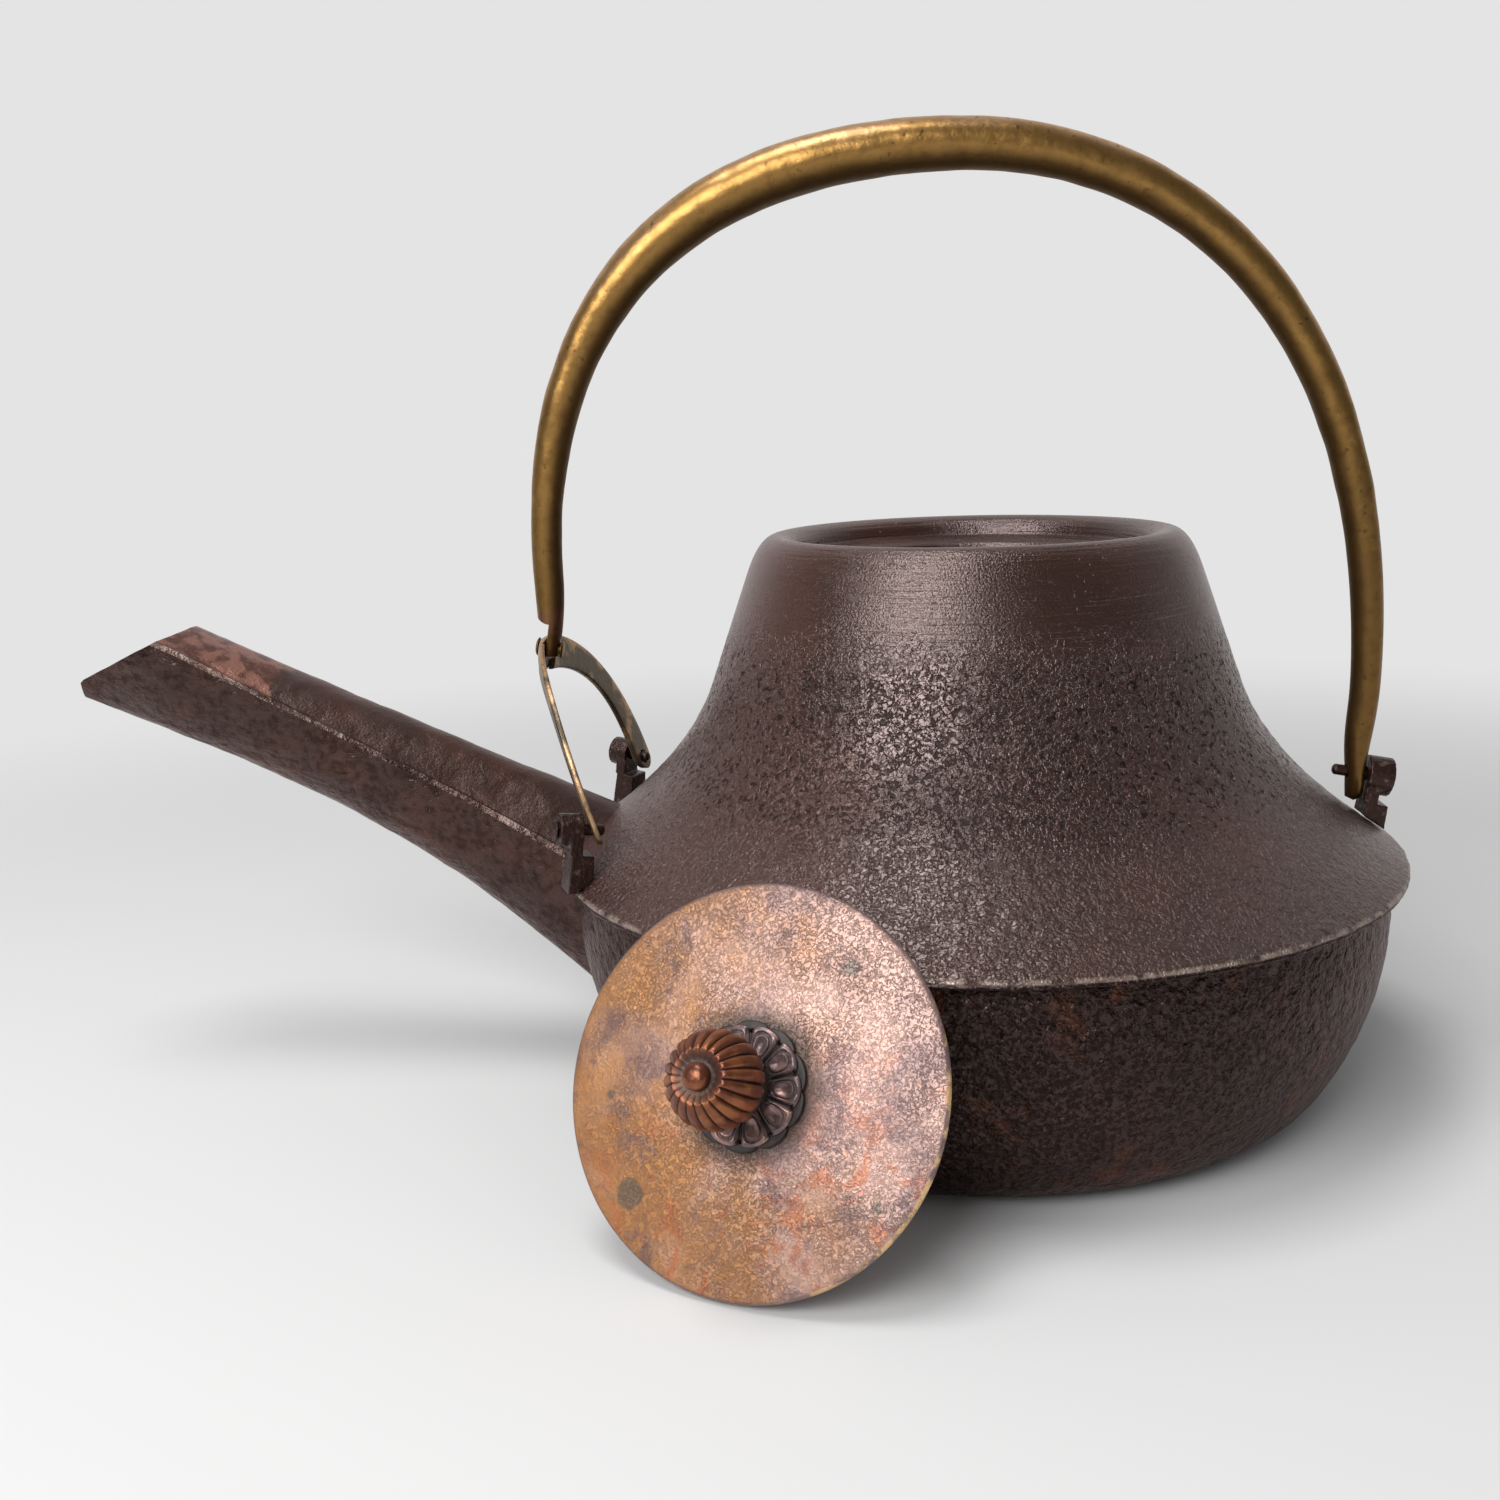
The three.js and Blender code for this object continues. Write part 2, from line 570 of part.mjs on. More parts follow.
// Fork: an arch of plate with two flat halves that meet in a rounded fold at the crown.
// It leans out at its feet and is upright at its crown.
const forkFootRadius = FRONT_EAR_RADIUS - SEAT_GAP - forkDepth - forkStandOff;
const forkFootWidth = forkFootRadius * Math.sin(radians(FRONT_EAR_ANGLE));
const forkFold = (across) => FORK_FOLD * (Math.hypot(across, FORK_FOLD_RADIUS) - FORK_FOLD_RADIUS);
const forkFootReach = forkFootRadius * Math.cos(radians(FRONT_EAR_ANGLE)) + forkFold(forkFootWidth);
const forkRivetRise = FORK_HEIGHT - RIVET_BELOW_TOP;
const forkLine = new THREE.CubicBezierCurve(
  point(forkFootReach, 0),
  point(forkFootReach + FORK_LEAN * forkRivetRise * 0.45, forkRivetRise * 0.45),
  point(FORK_CROWN_RADIUS + swingFall * forkRivetRise * 0.12, forkRivetRise * 0.88),
  point(FORK_CROWN_RADIUS, forkRivetRise),
);

// How far out the fork's inner face is, in the plane of the fold.
function forkReach(rise) {
  if (rise <= 0) return forkFootReach + FORK_LEAN * rise;
  if (rise >= forkRivetRise) return FORK_CROWN_RADIUS - swingFall * (rise - forkRivetRise);
  return crossing(forkLine, 'y', rise).x;
}

function forkCorner({ x: across, y: rise }, outer) {
  const reach = forkReach(rise) - forkFold(across) + (outer ? forkDepth : 0);
  return vector(-reach, across, FRONT_PIN_HEIGHT + rise);
}

function forkRing(outerEdge, innerEdge) {
  return [
    forkCorner(outerEdge, false),
    forkCorner(outerEdge, true),
    forkCorner(innerEdge, true),
    forkCorner(innerEdge, false),
  ];
}

function forkFoot(side, drop) {
  const half = FORK_LEG_WIDTH / 2;
  const round = half * Math.sqrt(1 - drop * drop);
  const outer = point(side * (forkFootWidth + round), -half * drop);
  const inner = point(side * (forkFootWidth - round), -half * drop);
  return forkRing(outer, inner);
}

function forkArch(width, height, roundness, angle) {
  const across = Math.abs(Math.sin(angle)) ** (2 / roundness);
  return point(Math.sign(angle) * width * across, height * Math.cos(angle) ** (2 / roundness));
}

function fork() {
  const half = FORK_LEG_WIDTH / 2;
  const drops = [0.97, 0.7, 0.3];
  const rings = drops.map((drop) => forkFoot(-1, drop));
  const steps = 24;
  for (let i = 0; i <= steps; i += 1) {
    const angle = radians(mix(-90, 90, i / steps));
    const outer = forkArch(forkFootWidth + half, FORK_HEIGHT, FORK_OUTER_ROUNDNESS, angle);
    const innerHeight = FORK_HEIGHT - FORK_CROWN_WIDTH;
    const inner = forkArch(forkFootWidth - half, innerHeight, FORK_INNER_ROUNDNESS, angle);
    rings.push(forkRing(outer, inner));
  }
  rings.push(...drops.reverse().map((drop) => forkFoot(1, drop)));
  const hole = PIN_RADIUS + PIN_CLEARANCE;
  const reach = FRONT_EAR_LENGTH * 2;
  return solid(loft(rings))
    .subtract(bar(hole, -reach, reach, pinFrames.frontLeft, 16))
    .subtract(bar(hole, -reach, reach, pinFrames.frontRight, 16))
    .subtract(bar(hole, -reach, reach, rivetFrame, 16))
    .subtract(bar(BAIL_TONGUE_RELIEF + SEAT_GAP, 0, reach, rivetFrame, 24));
}

// Bail: a round bar that swells towards its top, with a flat tongue and a flat eye.
const tongueMiddle = SEAT_GAP + BAIL_TONGUE_THICKNESS - BAIL_END_THICKNESS / 2;
const tongueCentre = rivetPoint.clone().addScaledVector(swingAxis, tongueMiddle);
const eyeCentre = rearPinPoint.clone().addScaledVector(swingAxis, -SEAT_GAP - BAIL_EYE_THICKNESS / 2);

function bailPath() {
  const path = new THREE.CurvePath();
  const top = vector(-BAIL_TOP_OFFSET, 0, BAIL_TOP_HEIGHT);
  const front = vector(tongueCentre.x + BAIL_LEG_BEND, 0, BAIL_FRONT_HEIGHT);
  const rear = vector(eyeCentre.x + BAIL_EYE_BEND, 0, BAIL_REAR_HEIGHT);
  const tongueEnd = tongueCentre.clone().addScaledVector(swingUp, -BAIL_TONGUE_DROP);
  const eyeEnd = eyeCentre.clone().add(vector(0, 0, -BAIL_EYE_DROP));
  path.add(new THREE.LineCurve3(tongueEnd, tongueCentre));
  path.add(new THREE.CubicBezierCurve3(
    tongueCentre,
    tongueCentre.clone().addScaledVector(swingUp, BAIL_FRONT_HANDLE / 2),
    front.clone().add(vector(0, 0, -BAIL_FRONT_HANDLE / 2)),
    front,
  ));
  path.add(new THREE.CubicBezierCurve3(
    front,
    front.clone().add(vector(0, 0, BAIL_FRONT_HANDLE)),
    top.clone().add(vector(-BAIL_TOP_FRONT_HANDLE, 0, 0)),
    top,
  ));
  path.add(new THREE.CubicBezierCurve3(
    top,
    top.clone().add(vector(BAIL_TOP_REAR_HANDLE, 0, 0)),
    rear.clone().add(vector(0, 0, BAIL_REAR_HANDLE)),
    rear,
  ));
  path.add(new THREE.CubicBezierCurve3(
    rear,
    rear.clone().add(vector(0, 0, -BAIL_REAR_HANDLE / 8)),
    eyeCentre.clone().add(vector(0, 0, BAIL_REAR_HANDLE / 8)),
    eyeCentre,
  ));
  path.add(new THREE.LineCurve3(eyeCentre, eyeEnd));
  return path;
}

// The bar swells quickly from the front, and thins slowly towards the rear.
function bailDiameter(share) {
  if (share < BAIL_THICKEST_SHARE) {
    return mix(BAIL_FRONT_DIAMETER, BAIL_TOP_DIAMETER, ease(share, 0.03, BAIL_THICKEST_SHARE * 0.9));
  }
  const back = (share - BAIL_THICKEST_SHARE) / (0.95 - BAIL_THICKEST_SHARE);
  return mix(BAIL_TOP_DIAMETER, BAIL_REAR_DIAMETER, Math.min(back, 1));
}

// Thickness in the bail's plane and width across it, at a distance along the bar.
function bailSize(distance, length) {
  const full = bailDiameter(distance / length);
  const fromRivet = (distance - BAIL_TONGUE_DROP) / BAIL_TONGUE_TAPER;
  const fromPin = (length - distance - BAIL_EYE_DROP) / BAIL_EYE_TAPER;
  const grow = (share) => Math.sin(Math.PI / 2 * Math.min(Math.max(share, 0), 1));
  const thick = Math.min(
    mix(BAIL_END_THICKNESS, full, grow(fromRivet)),
    mix(BAIL_EYE_THICKNESS, full, grow(fromPin)),
  );
  const front = mix(BAIL_TONGUE_WIDTH, full, grow(fromRivet));
  const rear = mix(BAIL_EYE_WIDTH, full, grow(fromPin));
  const wide = fromRivet < fromPin ? front : rear;
  const endRound = (along, drop) => Math.sqrt(1 - Math.max(1 - along / drop, 0) ** 2);
  const round = endRound(distance, BAIL_TONGUE_DROP) * endRound(length - distance, BAIL_EYE_DROP);
  return { thick, wide: Math.max(wide * round, BAIL_TONGUE_WIDTH / 10) };
}

function bail() {
  const path = bailPath();
  const length = path.getLength();
  const shares = [0.002, 0.25, 0.6, 1].map((share) => share * BAIL_TONGUE_DROP);
  for (let i = 1; i <= 4; i += 1) shares.push(BAIL_TONGUE_DROP + BAIL_TONGUE_TAPER * i / 4);
  const start = shares[shares.length - 1];
  const end = length - BAIL_EYE_DROP - BAIL_EYE_TAPER;
  const steps = 26;
  for (let i = 1; i <= steps; i += 1) shares.push(mix(start, end, i / steps));
  for (let i = 1; i <= 4; i += 1) shares.push(end + BAIL_EYE_TAPER * i / 4);
  for (const share of [0.4, 0.75, 0.998]) shares.push(length - BAIL_EYE_DROP * (1 - share));
  const rings = shares.map((distance) => {
    const centre = path.getPointAt(distance / length);
    const along = path.getTangentAt(distance / length);
    const out = along.clone().cross(vector(0, 1, 0)).normalize();
    const { thick, wide } = bailSize(distance, length);
    const ring = [];
    for (let j = 0; j < BAIL_SIDES; j += 1) {
      const angle = 2 * Math.PI * j / BAIL_SIDES;
      const spot = centre.clone().addScaledVector(out, thick / 2 * Math.cos(angle));
      ring.push(spot.add(vector(0, wide / 2 * Math.sin(angle), 0)));
    }
    return ring;
  });
  const beyond = BAIL_TOP_DIAMETER;
  const hole = PIN_RADIUS + PIN_CLEARANCE;
  const headStart = SEAT_GAP + BAIL_TONGUE_THICKNESS;
  return solid(loft(rings))
    .subtract(bar(BAIL_TONGUE_RELIEF, -beyond, SEAT_GAP, rivetFrame, 32))
    .subtract(bar(PIN_HEAD_RADIUS + PIN_CLEARANCE, headStart, beyond, rivetFrame))
    .subtract(bar(BAIL_EYE_RELIEF, -SEAT_GAP, beyond, pinFrames.rear, 32))
    .subtract(bar(hole, -beyond, beyond, rivetFrame, 16))
    .subtract(bar(hole, -beyond, beyond, pinFrames.rear, 16));
}

// Lid, in its own frame: Z is its axis, from the underside of its edge out through the knob.
const studHole = STUD_RADIUS + PIN_CLEARANCE;
const lidTop = LID_THICKNESS + LID_DOME;
const flowerBase = lidTop + SEAT_GAP;
const knobBase = flowerBase + FLOWER_THICKNESS + SEAT_GAP;
const knobTop = knobBase + KNOB_NECK_HEIGHT + KNOB_HEIGHT;
const lidRise = (radius) => LID_DOME * (1 - (radius / LID_RADIUS) ** 2);

function lid() {
  const radii = [0, 0.35, 0.7, 1].map((share) => mix(studHole, LID_RADIUS, share));
  const under = radii.map((radius) => point(radius, lidRise(radius)));
  const over = radii.map((radius) => point(radius, lidRise(radius) + LID_THICKNESS)).reverse();
  return solid(revolve([...under, ...over, under[0]], LID_SEGMENTS));
}

// Flower washer: round petals over a second layer of them, turned by half a petal.
function flowerWasher() {
  const petal = (angle) => 1 - Math.abs(Math.sin(angle * FLOWER_PETALS / 2));
  const count = FLOWER_PETALS * 6;
  const under = { outer: FLOWER_RADIUS, turn: Math.PI / FLOWER_PETALS };
  const over = { outer: FLOWER_RADIUS * FLOWER_OVER_SHARE, turn: 0 };
  const levels = [
    { ...under, share: 0, level: 0, groove: 0 },
    { ...under, share: 1, level: 0, groove: 0 },
    { ...under, share: 1, level: 0.4, groove: 0 },
    { ...over, share: 1, level: 0.4, groove: 0 },
    { ...over, share: 1, level: 0.7, groove: 0 },
    { ...over, share: 0.92, level: 0.95, groove: 0.25 },
    { ...over, share: 0.3, level: 1, groove: 0.1 },
    { ...over, share: 0, level: 1, groove: 0 },
  ];
  const rings = levels.map(({ outer, turn, share, level, groove }) => {
    const ring = [];
    for (let j = 0; j < count; j += 1) {
      const angle = 2 * Math.PI * j / count;
      const notch = petal(angle + turn) ** 2;
      const radius = mix(studHole, outer - FLOWER_PETAL_DEPTH * notch, share);
      const height = FLOWER_THICKNESS * (level - groove * notch);
      ring.push(vector(radius * Math.cos(angle), radius * Math.sin(angle), flowerBase + height));
    }
    return ring;
  });
  return solid(loft(rings, true));
}

// Knob: a ribbed ball on a short neck, dimpled at its crown round the stud.
function knobProfile() {
  const line = [
    { radius: studHole, height: knobBase, rib: 0 },
    { radius: KNOB_NECK_RADIUS + 0.9, height: knobBase, rib: 0 },
    { radius: KNOB_NECK_RADIUS, height: knobBase + KNOB_NECK_HEIGHT * 0.5, rib: 0 },
  ];
  const middle = knobBase + KNOB_NECK_HEIGHT + KNOB_HEIGHT / 2;
  const steps = 7;
  for (let i = 0; i <= steps; i += 1) {
    const angle = radians(mix(-64, 62, i / steps));
    const radius = KNOB_RADIUS * Math.cos(angle);
    const height = middle + KNOB_HEIGHT / 2 * Math.sin(angle) / Math.sin(radians(64));
    line.push({ radius, height, rib: Math.cos(angle) ** 0.5 });
  }
  const floor = knobTop - KNOB_DIMPLE_DEPTH;
  line.push({ radius: KNOB_DIMPLE_RADIUS, height: knobTop, rib: 0.3 });
  line.push({ radius: KNOB_DIMPLE_RADIUS * 0.72, height: floor, rib: 0 });
  line.push({ radius: studHole, height: floor, rib: 0 });
  return line;
}

function knob() {
  const count = KNOB_RIBS * 2;
  const rings = knobProfile().map(({ radius, height, rib }) => {
    const ring = [];
    for (let j = 0; j < count; j += 1) {
      const angle = 2 * Math.PI * j / count;
      const groove = 1 - Math.abs(Math.sin(angle * KNOB_RIBS / 2));
      const reach = radius - KNOB_RIB_DEPTH * rib * groove;
      ring.push(vector(reach * Math.cos(angle), reach * Math.sin(angle), height));
    }
    return ring;
  });
  return solid(loft(rings, true));
}

const washerTop = LID_DOME - SEAT_GAP;
const clenchTop = washerTop - WASHER_THICKNESS - SEAT_GAP;

function underWasher() {
  const base = washerTop - WASHER_THICKNESS;
  const profile = [
    point(studHole, base),
    point(WASHER_RADIUS, base),
    point(WASHER_RADIUS, washerTop),
    point(studHole, washerTop),
    point(studHole, base),
  ];
  return solid(revolve(profile, 32));
}

// Stud: a domed nub over the knob, a stem through everything, clenched under the lid.
function knobStud() {
  const nubBase = knobTop - KNOB_DIMPLE_DEPTH + SEAT_GAP;
  const dome = new THREE.QuadraticBezierCurve(
    point(NUB_RADIUS, nubBase + NUB_HEIGHT * 0.2),
    point(NUB_RADIUS, nubBase + NUB_HEIGHT),
    point(0, nubBase + NUB_HEIGHT),
  );
  const profile = [
    point(0, clenchTop - CLENCH_HEIGHT),
    point(CLENCH_RADIUS * 0.6, clenchTop - CLENCH_HEIGHT),
    point(CLENCH_RADIUS, clenchTop - CLENCH_HEIGHT * 0.4),
    point(CLENCH_RADIUS, clenchTop),
    point(STUD_RADIUS, clenchTop),
    point(STUD_RADIUS, nubBase),
    point(NUB_RADIUS, nubBase),
    ...dome.getPoints(5),
  ];
  return solid(revolve(profile, 20));
}

// The lid leans: its lowest edge is on the floor and its underside on the flange's edge.
function lidPlace() {
  const lean = radians(LID_LEAN);
  const centreHeight = LID_RADIUS * Math.cos(lean) + SEAT_GAP;
  let upSlope = 0;
  let stand = 0;
  for (let i = 0; i < 6; i += 1) {
    stand = lidRise(Math.hypot(upSlope, LID_SIDE_SHIFT)) - SEAT_GAP;
    upSlope = (FLANGE_HEIGHT - centreHeight - stand * Math.sin(lean)) / Math.cos(lean);
  }
  const reach = FLANGE_RADIUS + upSlope * Math.sin(lean) - stand * Math.cos(lean);
  const turn = radians(LID_AZIMUTH);
  const outward = vector(Math.cos(turn), Math.sin(turn), 0);
  const sideways = vector(-Math.sin(turn), Math.cos(turn), 0);
  const place = outward.clone().multiplyScalar(reach).setZ(centreHeight);
  place.addScaledVector(sideways, LID_SIDE_SHIFT);
  const facing = outward.clone().multiplyScalar(Math.cos(lean)).setZ(Math.sin(lean));
  return { place, facing };
}

const seat = seatForm();
const bore = spoutBore();

const kettle = new THREE.Group();
kettle.add(
  piece('kettle_body', kettleBody(bore), IRON),
  piece('spout', spout(bore, seat), SPOUT_IRON),
  piece('front_left_ear', ear(pinFrames.frontLeft, frontEar, seat), DARK_IRON),
  piece('front_right_ear', ear(pinFrames.frontRight, frontEar, seat), DARK_IRON),
  piece('rear_ear', ear(pinFrames.rear, rearEar, seat), DARK_IRON),
  piece('front_left_pin', frontPin(pinFrames.frontLeft), DARK_IRON),
  piece('front_right_pin', frontPin(pinFrames.frontRight), DARK_IRON),
  piece('rear_pin', rearPin(), DARK_IRON),
  piece('fork', fork(), DULL_BRASS),
  piece('crown_rivet', crownRivet(), BRASS),
  piece('bail', bail(), BRASS),
);

const lidGroup = new THREE.Group();
const { place, facing } = lidPlace();
lidGroup.position.copy(place);
lidGroup.quaternion.setFromUnitVectors(vector(0, 0, 1), facing);
lidGroup.add(
  piece('lid', lid(), LID_BRONZE),
  piece('flower_washer', flowerWasher(), FLOWER_COPPER),
  piece('knob', knob(), KNOB_COPPER),
  piece('knob_stud', knobStud(), KNOB_COPPER),
  piece('under_washer', underWasher(), LID_BRONZE),
);
kettle.add(lidGroup);

export default kettle;
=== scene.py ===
"""Iron sake kettle: fine pieces, finishes, floor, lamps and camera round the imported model."""
import math

import bmesh
import bpy
from bpy.props import FloatProperty, FloatVectorProperty, IntProperty, PointerProperty
from mathutils import Matrix, Vector


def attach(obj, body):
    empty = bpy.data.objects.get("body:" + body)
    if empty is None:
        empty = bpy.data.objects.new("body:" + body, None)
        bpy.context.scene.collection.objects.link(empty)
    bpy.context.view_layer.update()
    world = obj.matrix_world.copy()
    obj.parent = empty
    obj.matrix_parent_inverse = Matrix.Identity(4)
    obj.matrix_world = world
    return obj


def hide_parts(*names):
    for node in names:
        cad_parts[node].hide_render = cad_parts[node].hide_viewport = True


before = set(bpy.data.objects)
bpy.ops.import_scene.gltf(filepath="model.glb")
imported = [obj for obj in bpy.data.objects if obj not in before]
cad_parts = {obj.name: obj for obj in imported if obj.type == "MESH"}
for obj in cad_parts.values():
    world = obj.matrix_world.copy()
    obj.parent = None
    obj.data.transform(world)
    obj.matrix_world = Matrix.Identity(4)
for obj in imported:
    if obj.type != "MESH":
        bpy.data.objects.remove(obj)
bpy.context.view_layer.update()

bl_info = {
    "name": "Iron sake kettle",
    "version": (1, 0, 0),
    "blender": (4, 5, 0),
    "location": "3D Viewport > Sidebar > Kettle",
    "description": "Models and finishes an iron sake kettle with a brass bail and a bronze lid",
    "category": "Object",
}

MM = 0.001
UP = Vector((0, 0, 1))
ACROSS = Vector((0, 1, 0))


def length(name, description, millimetres):
    return FloatProperty(
        name=name, description=description, default=millimetres * MM, unit="LENGTH", precision=5
    )


def colour(name, description, default):
    return FloatVectorProperty(
        name=name, description=description, default=default, subtype="COLOR", size=3, min=0, max=1
    )


class KettleBodySizes(bpy.types.PropertyGroup):
    """Radii and heights of the cast body, with its neck, flange and mouth."""

    wall: length("Wall", "Thickness of the cast wall", 3)
    base_radius: length("Base radius", "Radius of the flat that the kettle stands on", 52)
    corner_radius: length("Corner radius", "Radius where the base's rounding meets the wall", 64.2)
    corner_height: length("Corner height", "Height where the base's rounding meets the wall", 6.2)
    wall_top_radius: length("Wall top radius", "Radius of the wall under the flange", 71.6)
    wall_bulge: length("Wall bulge", "How far the wall's curve is drawn out", 2.2)
    flange_radius: length("Flange radius", "Radius of the sharp edge round the middle", 75)
    flange_height: length("Flange height", "Height of the flange's upper face at its edge", 42)
    flange_thickness: length("Flange thickness", "Thickness of the flange at its edge", 1.4)
    bend_height: length("Bend height", "Height that the shoulder's curve is drawn towards", 56.8)
    neck_foot_radius: length("Neck foot radius", "Radius where the straight neck begins", 46.7)
    neck_foot_height: length("Neck foot height", "Height where the straight neck begins", 72)
    neck_top_radius: length("Neck top radius", "Radius where the neck rolls into the rim", 39.6)
    neck_top_height: length("Neck top height", "Height where the neck rolls into the rim", 92)
    rim_height: length("Rim height", "Height of the rim's crest", 98.5)
    rim_width: length("Rim width", "Width of the rim's roll", 3)
    seat_radius: length("Seat radius", "Radius of the lid's seat", 30.7)
    seat_depth: length("Seat depth", "Depth of the lid's seat below the crest", 3.6)
    seat_fall: length("Seat fall", "How far the seat slopes down to the mouth", 1.3)
    mouth_radius: length("Mouth radius", "Radius of the mouth", 27)
    mouth_lip: length("Mouth lip", "Thickness of the seat at the mouth", 2.3)
    relief: length("Relief", "Height of the cast skin's relief", 0.24)


class SpoutSizes(bpy.types.PropertyGroup):
    """Distances from the kettle's axis, heights and widths of the spout."""

    lip_reach: length("Lip reach", "Distance of the lip from the axis", 165)
    lip_top: length("Lip top", "Height of the lip's top", 74.6)
    lip_underside: length("Lip underside", "Height of the lip's underside", 71.3)
    crest_reach: length("Crest reach", "Distance of the crest's end from the axis", 143.5)
    crest_height: length("Crest height", "Height of the crest's end", 84)
    crest_root: length("Crest root", "Distance from the axis where the crest leaves the shoulder", 65)
    keel_root_height: length("Keel root height", "Height where the keel leaves the wall", 11.5)
    wall: length("Wall", "Thickness of the spout's wall", 2.5)
    lip_half: length("Lip half width", "Half the width of the lip", 3.6)
    half: length("Half width", "Half the width of the spout", 9.2)
    root_half: length("Root half width", "Half the width of the spout at its root", 12.5)
    tip_arch: length("Tip arch", "Rise of the arched top at the tip", 2.4)
    root_arch: length("Root arch", "Rise of the arched top at the root", 9.6)
    nose: length("Nose", "Length over which the tip narrows", 20)
    flare: length("Flare", "Length over which the root widens", 34)
    keel_tip_slope: FloatProperty(
        name="Keel tip slope", description="Slope of the keel at the lip", default=0.39
    )
    keel_root_slope: FloatProperty(
        name="Keel root slope", description="Slope of the keel at the wall", default=0.95
    )


class HardwareSizes(bpy.types.PropertyGroup):
    """Sizes of the ears, pins, fork and bail."""

    front_ear_radius: length("Front ear radius", "Distance of the front ears' faces from the axis", 73)
    rear_ear_radius: length("Rear ear radius", "Distance of the rear ear's face from the axis", 69.9)
    barrel: length("Barrel radius", "Radius of a front ear's barrel", 2.8)
    front_pin_height: length("Front pin height", "Height of the front pins", 52.5)
    rear_pin_height: length("Rear pin height", "Height of the rear pin", 53.3)
    pin_radius: length("Pin radius", "Radius of a pin", 1)
    head_radius: length("Head radius", "Radius of a pin's head", 1.7)
    clearance: length("Clearance", "Gap round a pin and between pieces that lie together", 0.3)
    fork_thickness: length("Fork thickness", "Thickness of the fork's strip", 1)
    fork_height: length("Fork height", "Height of the fork above the front pins", 28.4)
    fold_radius: length("Fold radius", "Radius at which the fork folds back at its middle", 8.8)
    crown_radius: length("Crown radius", "Distance of the fork's crown from the axis", 76.8)
    crown_width: length("Crown width", "Width of the fork's strip at its crown", 6.4)
    fork_leg: length("Fork leg width", "Width of the fork's strip at its feet", 5.6)
    rivet_drop: length("Rivet drop", "Distance of the rivet below the fork's top", 1.9)
    top_height: length("Top height", "Height of the bail's centre line at its top", 163.1)
    top_offset: length("Top offset", "How far the bail's top lies towards the spout", 4.2)
    top_front_pull: length("Front pull", "How flat the bail's top runs towards the front", 77)
    top_rear_pull: length("Rear pull", "How flat the bail's top runs towards the rear", 39.7)
    front_height: length("Front height", "Height where the bail's front leg turns straight", 90)
    front_pull: length("Front leg pull", "How long the bail's front leg stays straight", 6.4)
    rear_height: length("Rear height", "Height where the bail's rear leg turns straight", 72)
    rear_pull: length("Rear leg pull", "How long the bail's rear leg stays straight", 62.2)
    leg_bend: length("Leg bend", "How far the bail's front end bends outwards", 0.6)
    eye_bend: length("Eye bend", "How far the bail's rear end bends inwards", 1.1)
    top_diameter: length("Top diameter", "Diameter of the bail at its top", 9.2)
    front_diameter: length("Front diameter", "Diameter of the bail's front leg", 5.3)
    rear_diameter: length("Rear diameter", "Diameter of the bail's rear leg", 4.9)
    end_thickness: length("End thickness", "Thickness of the bail's front end before its lap", 3.6)
    tongue_thickness: length("Tongue thickness", "Thickness of the bail's lap on the fork", 2)
    tongue_width: length("Tongue width", "Width of the bail's front end", 5.8)
    tongue_drop: length("Tongue drop", "Length of the front end below its rivet", 2)
    tongue_taper: length("Tongue taper", "Length over which the front end flattens", 13)
    tongue_relief: length("Tongue relief", "Radius of the lap on the fork", 5.4)
    eye_thickness: length("Eye thickness", "Thickness of the bail's rear end", 3)
    eye_width: length("Eye width", "Width of the bail's rear end", 6)
    eye_drop: length("Eye drop", "Length of the rear end below its pin", 5.2)
    eye_taper: length("Eye taper", "Length over which the rear end flattens", 11)
    eye_relief: length("Eye relief", "Radius of the rear end's flat", 5.9)
    ear_angle: FloatProperty(
        name="Ear angle", description="Angle of a front ear from the spout",
        default=math.radians(24), subtype="ANGLE",
    )


class LidSizes(bpy.types.PropertyGroup):
    """Sizes of the lid, its flower washer, its knob and its stud."""

    radius: length("Radius", "Radius of the lid", 29.3)
    thickness: length("Thickness", "Thickness of the lid", 1.2)
    dome: length("Dome", "Rise of the lid's dome", 1.2)
    stud_radius: length("Stud radius", "Radius of the stud's stem", 1.3)
    flower_radius: length("Flower radius", "Radius of the flower washer", 9.2)
    flower_thickness: length("Flower thickness", "Thickness of the flower washer", 1.1)
    petal_depth: length("Petal depth", "Depth of the notch between two petals", 0.9)
    knob_radius: length("Knob radius", "Radius of the knob", 6.9)
    knob_height: length("Knob height", "Height of the knob's ball", 12)
    neck_radius: length("Neck radius", "Radius of the knob's neck", 3)
    neck_height: length("Neck height", "Height of the knob's neck", 3.2)
    rib_depth: length("Rib depth", "Depth of the grooves between the knob's ribs", 0.45)
    dimple_radius: length("Dimple radius", "Radius of the dimple in the knob's crown", 3.2)
    dimple_depth: length("Dimple depth", "Depth of the dimple in the knob's crown", 0.9)
    gap: length("Gap", "Gap between the pieces that the stud holds", 0.3)
    side_shift: length("Side shift", "How far the lid stands to the side as it leans", -4.2)
    petals: IntProperty(name="Petals", description="Petals of the flower washer", default=10)
    ribs: IntProperty(name="Ribs", description="Ribs of the knob", default=20)
    over_share: FloatProperty(
        name="Upper layer", description="Size of the upper petals, as a share of the lower", default=0.93
    )
    lean: FloatProperty(
        name="Lean", description="Angle of the lid from upright as it leans",
        default=math.radians(27), subtype="ANGLE",
    )
    azimuth: FloatProperty(
        name="Azimuth", description="Direction in which the lid faces",
        default=math.radians(-112.3), subtype="ANGLE",
    )


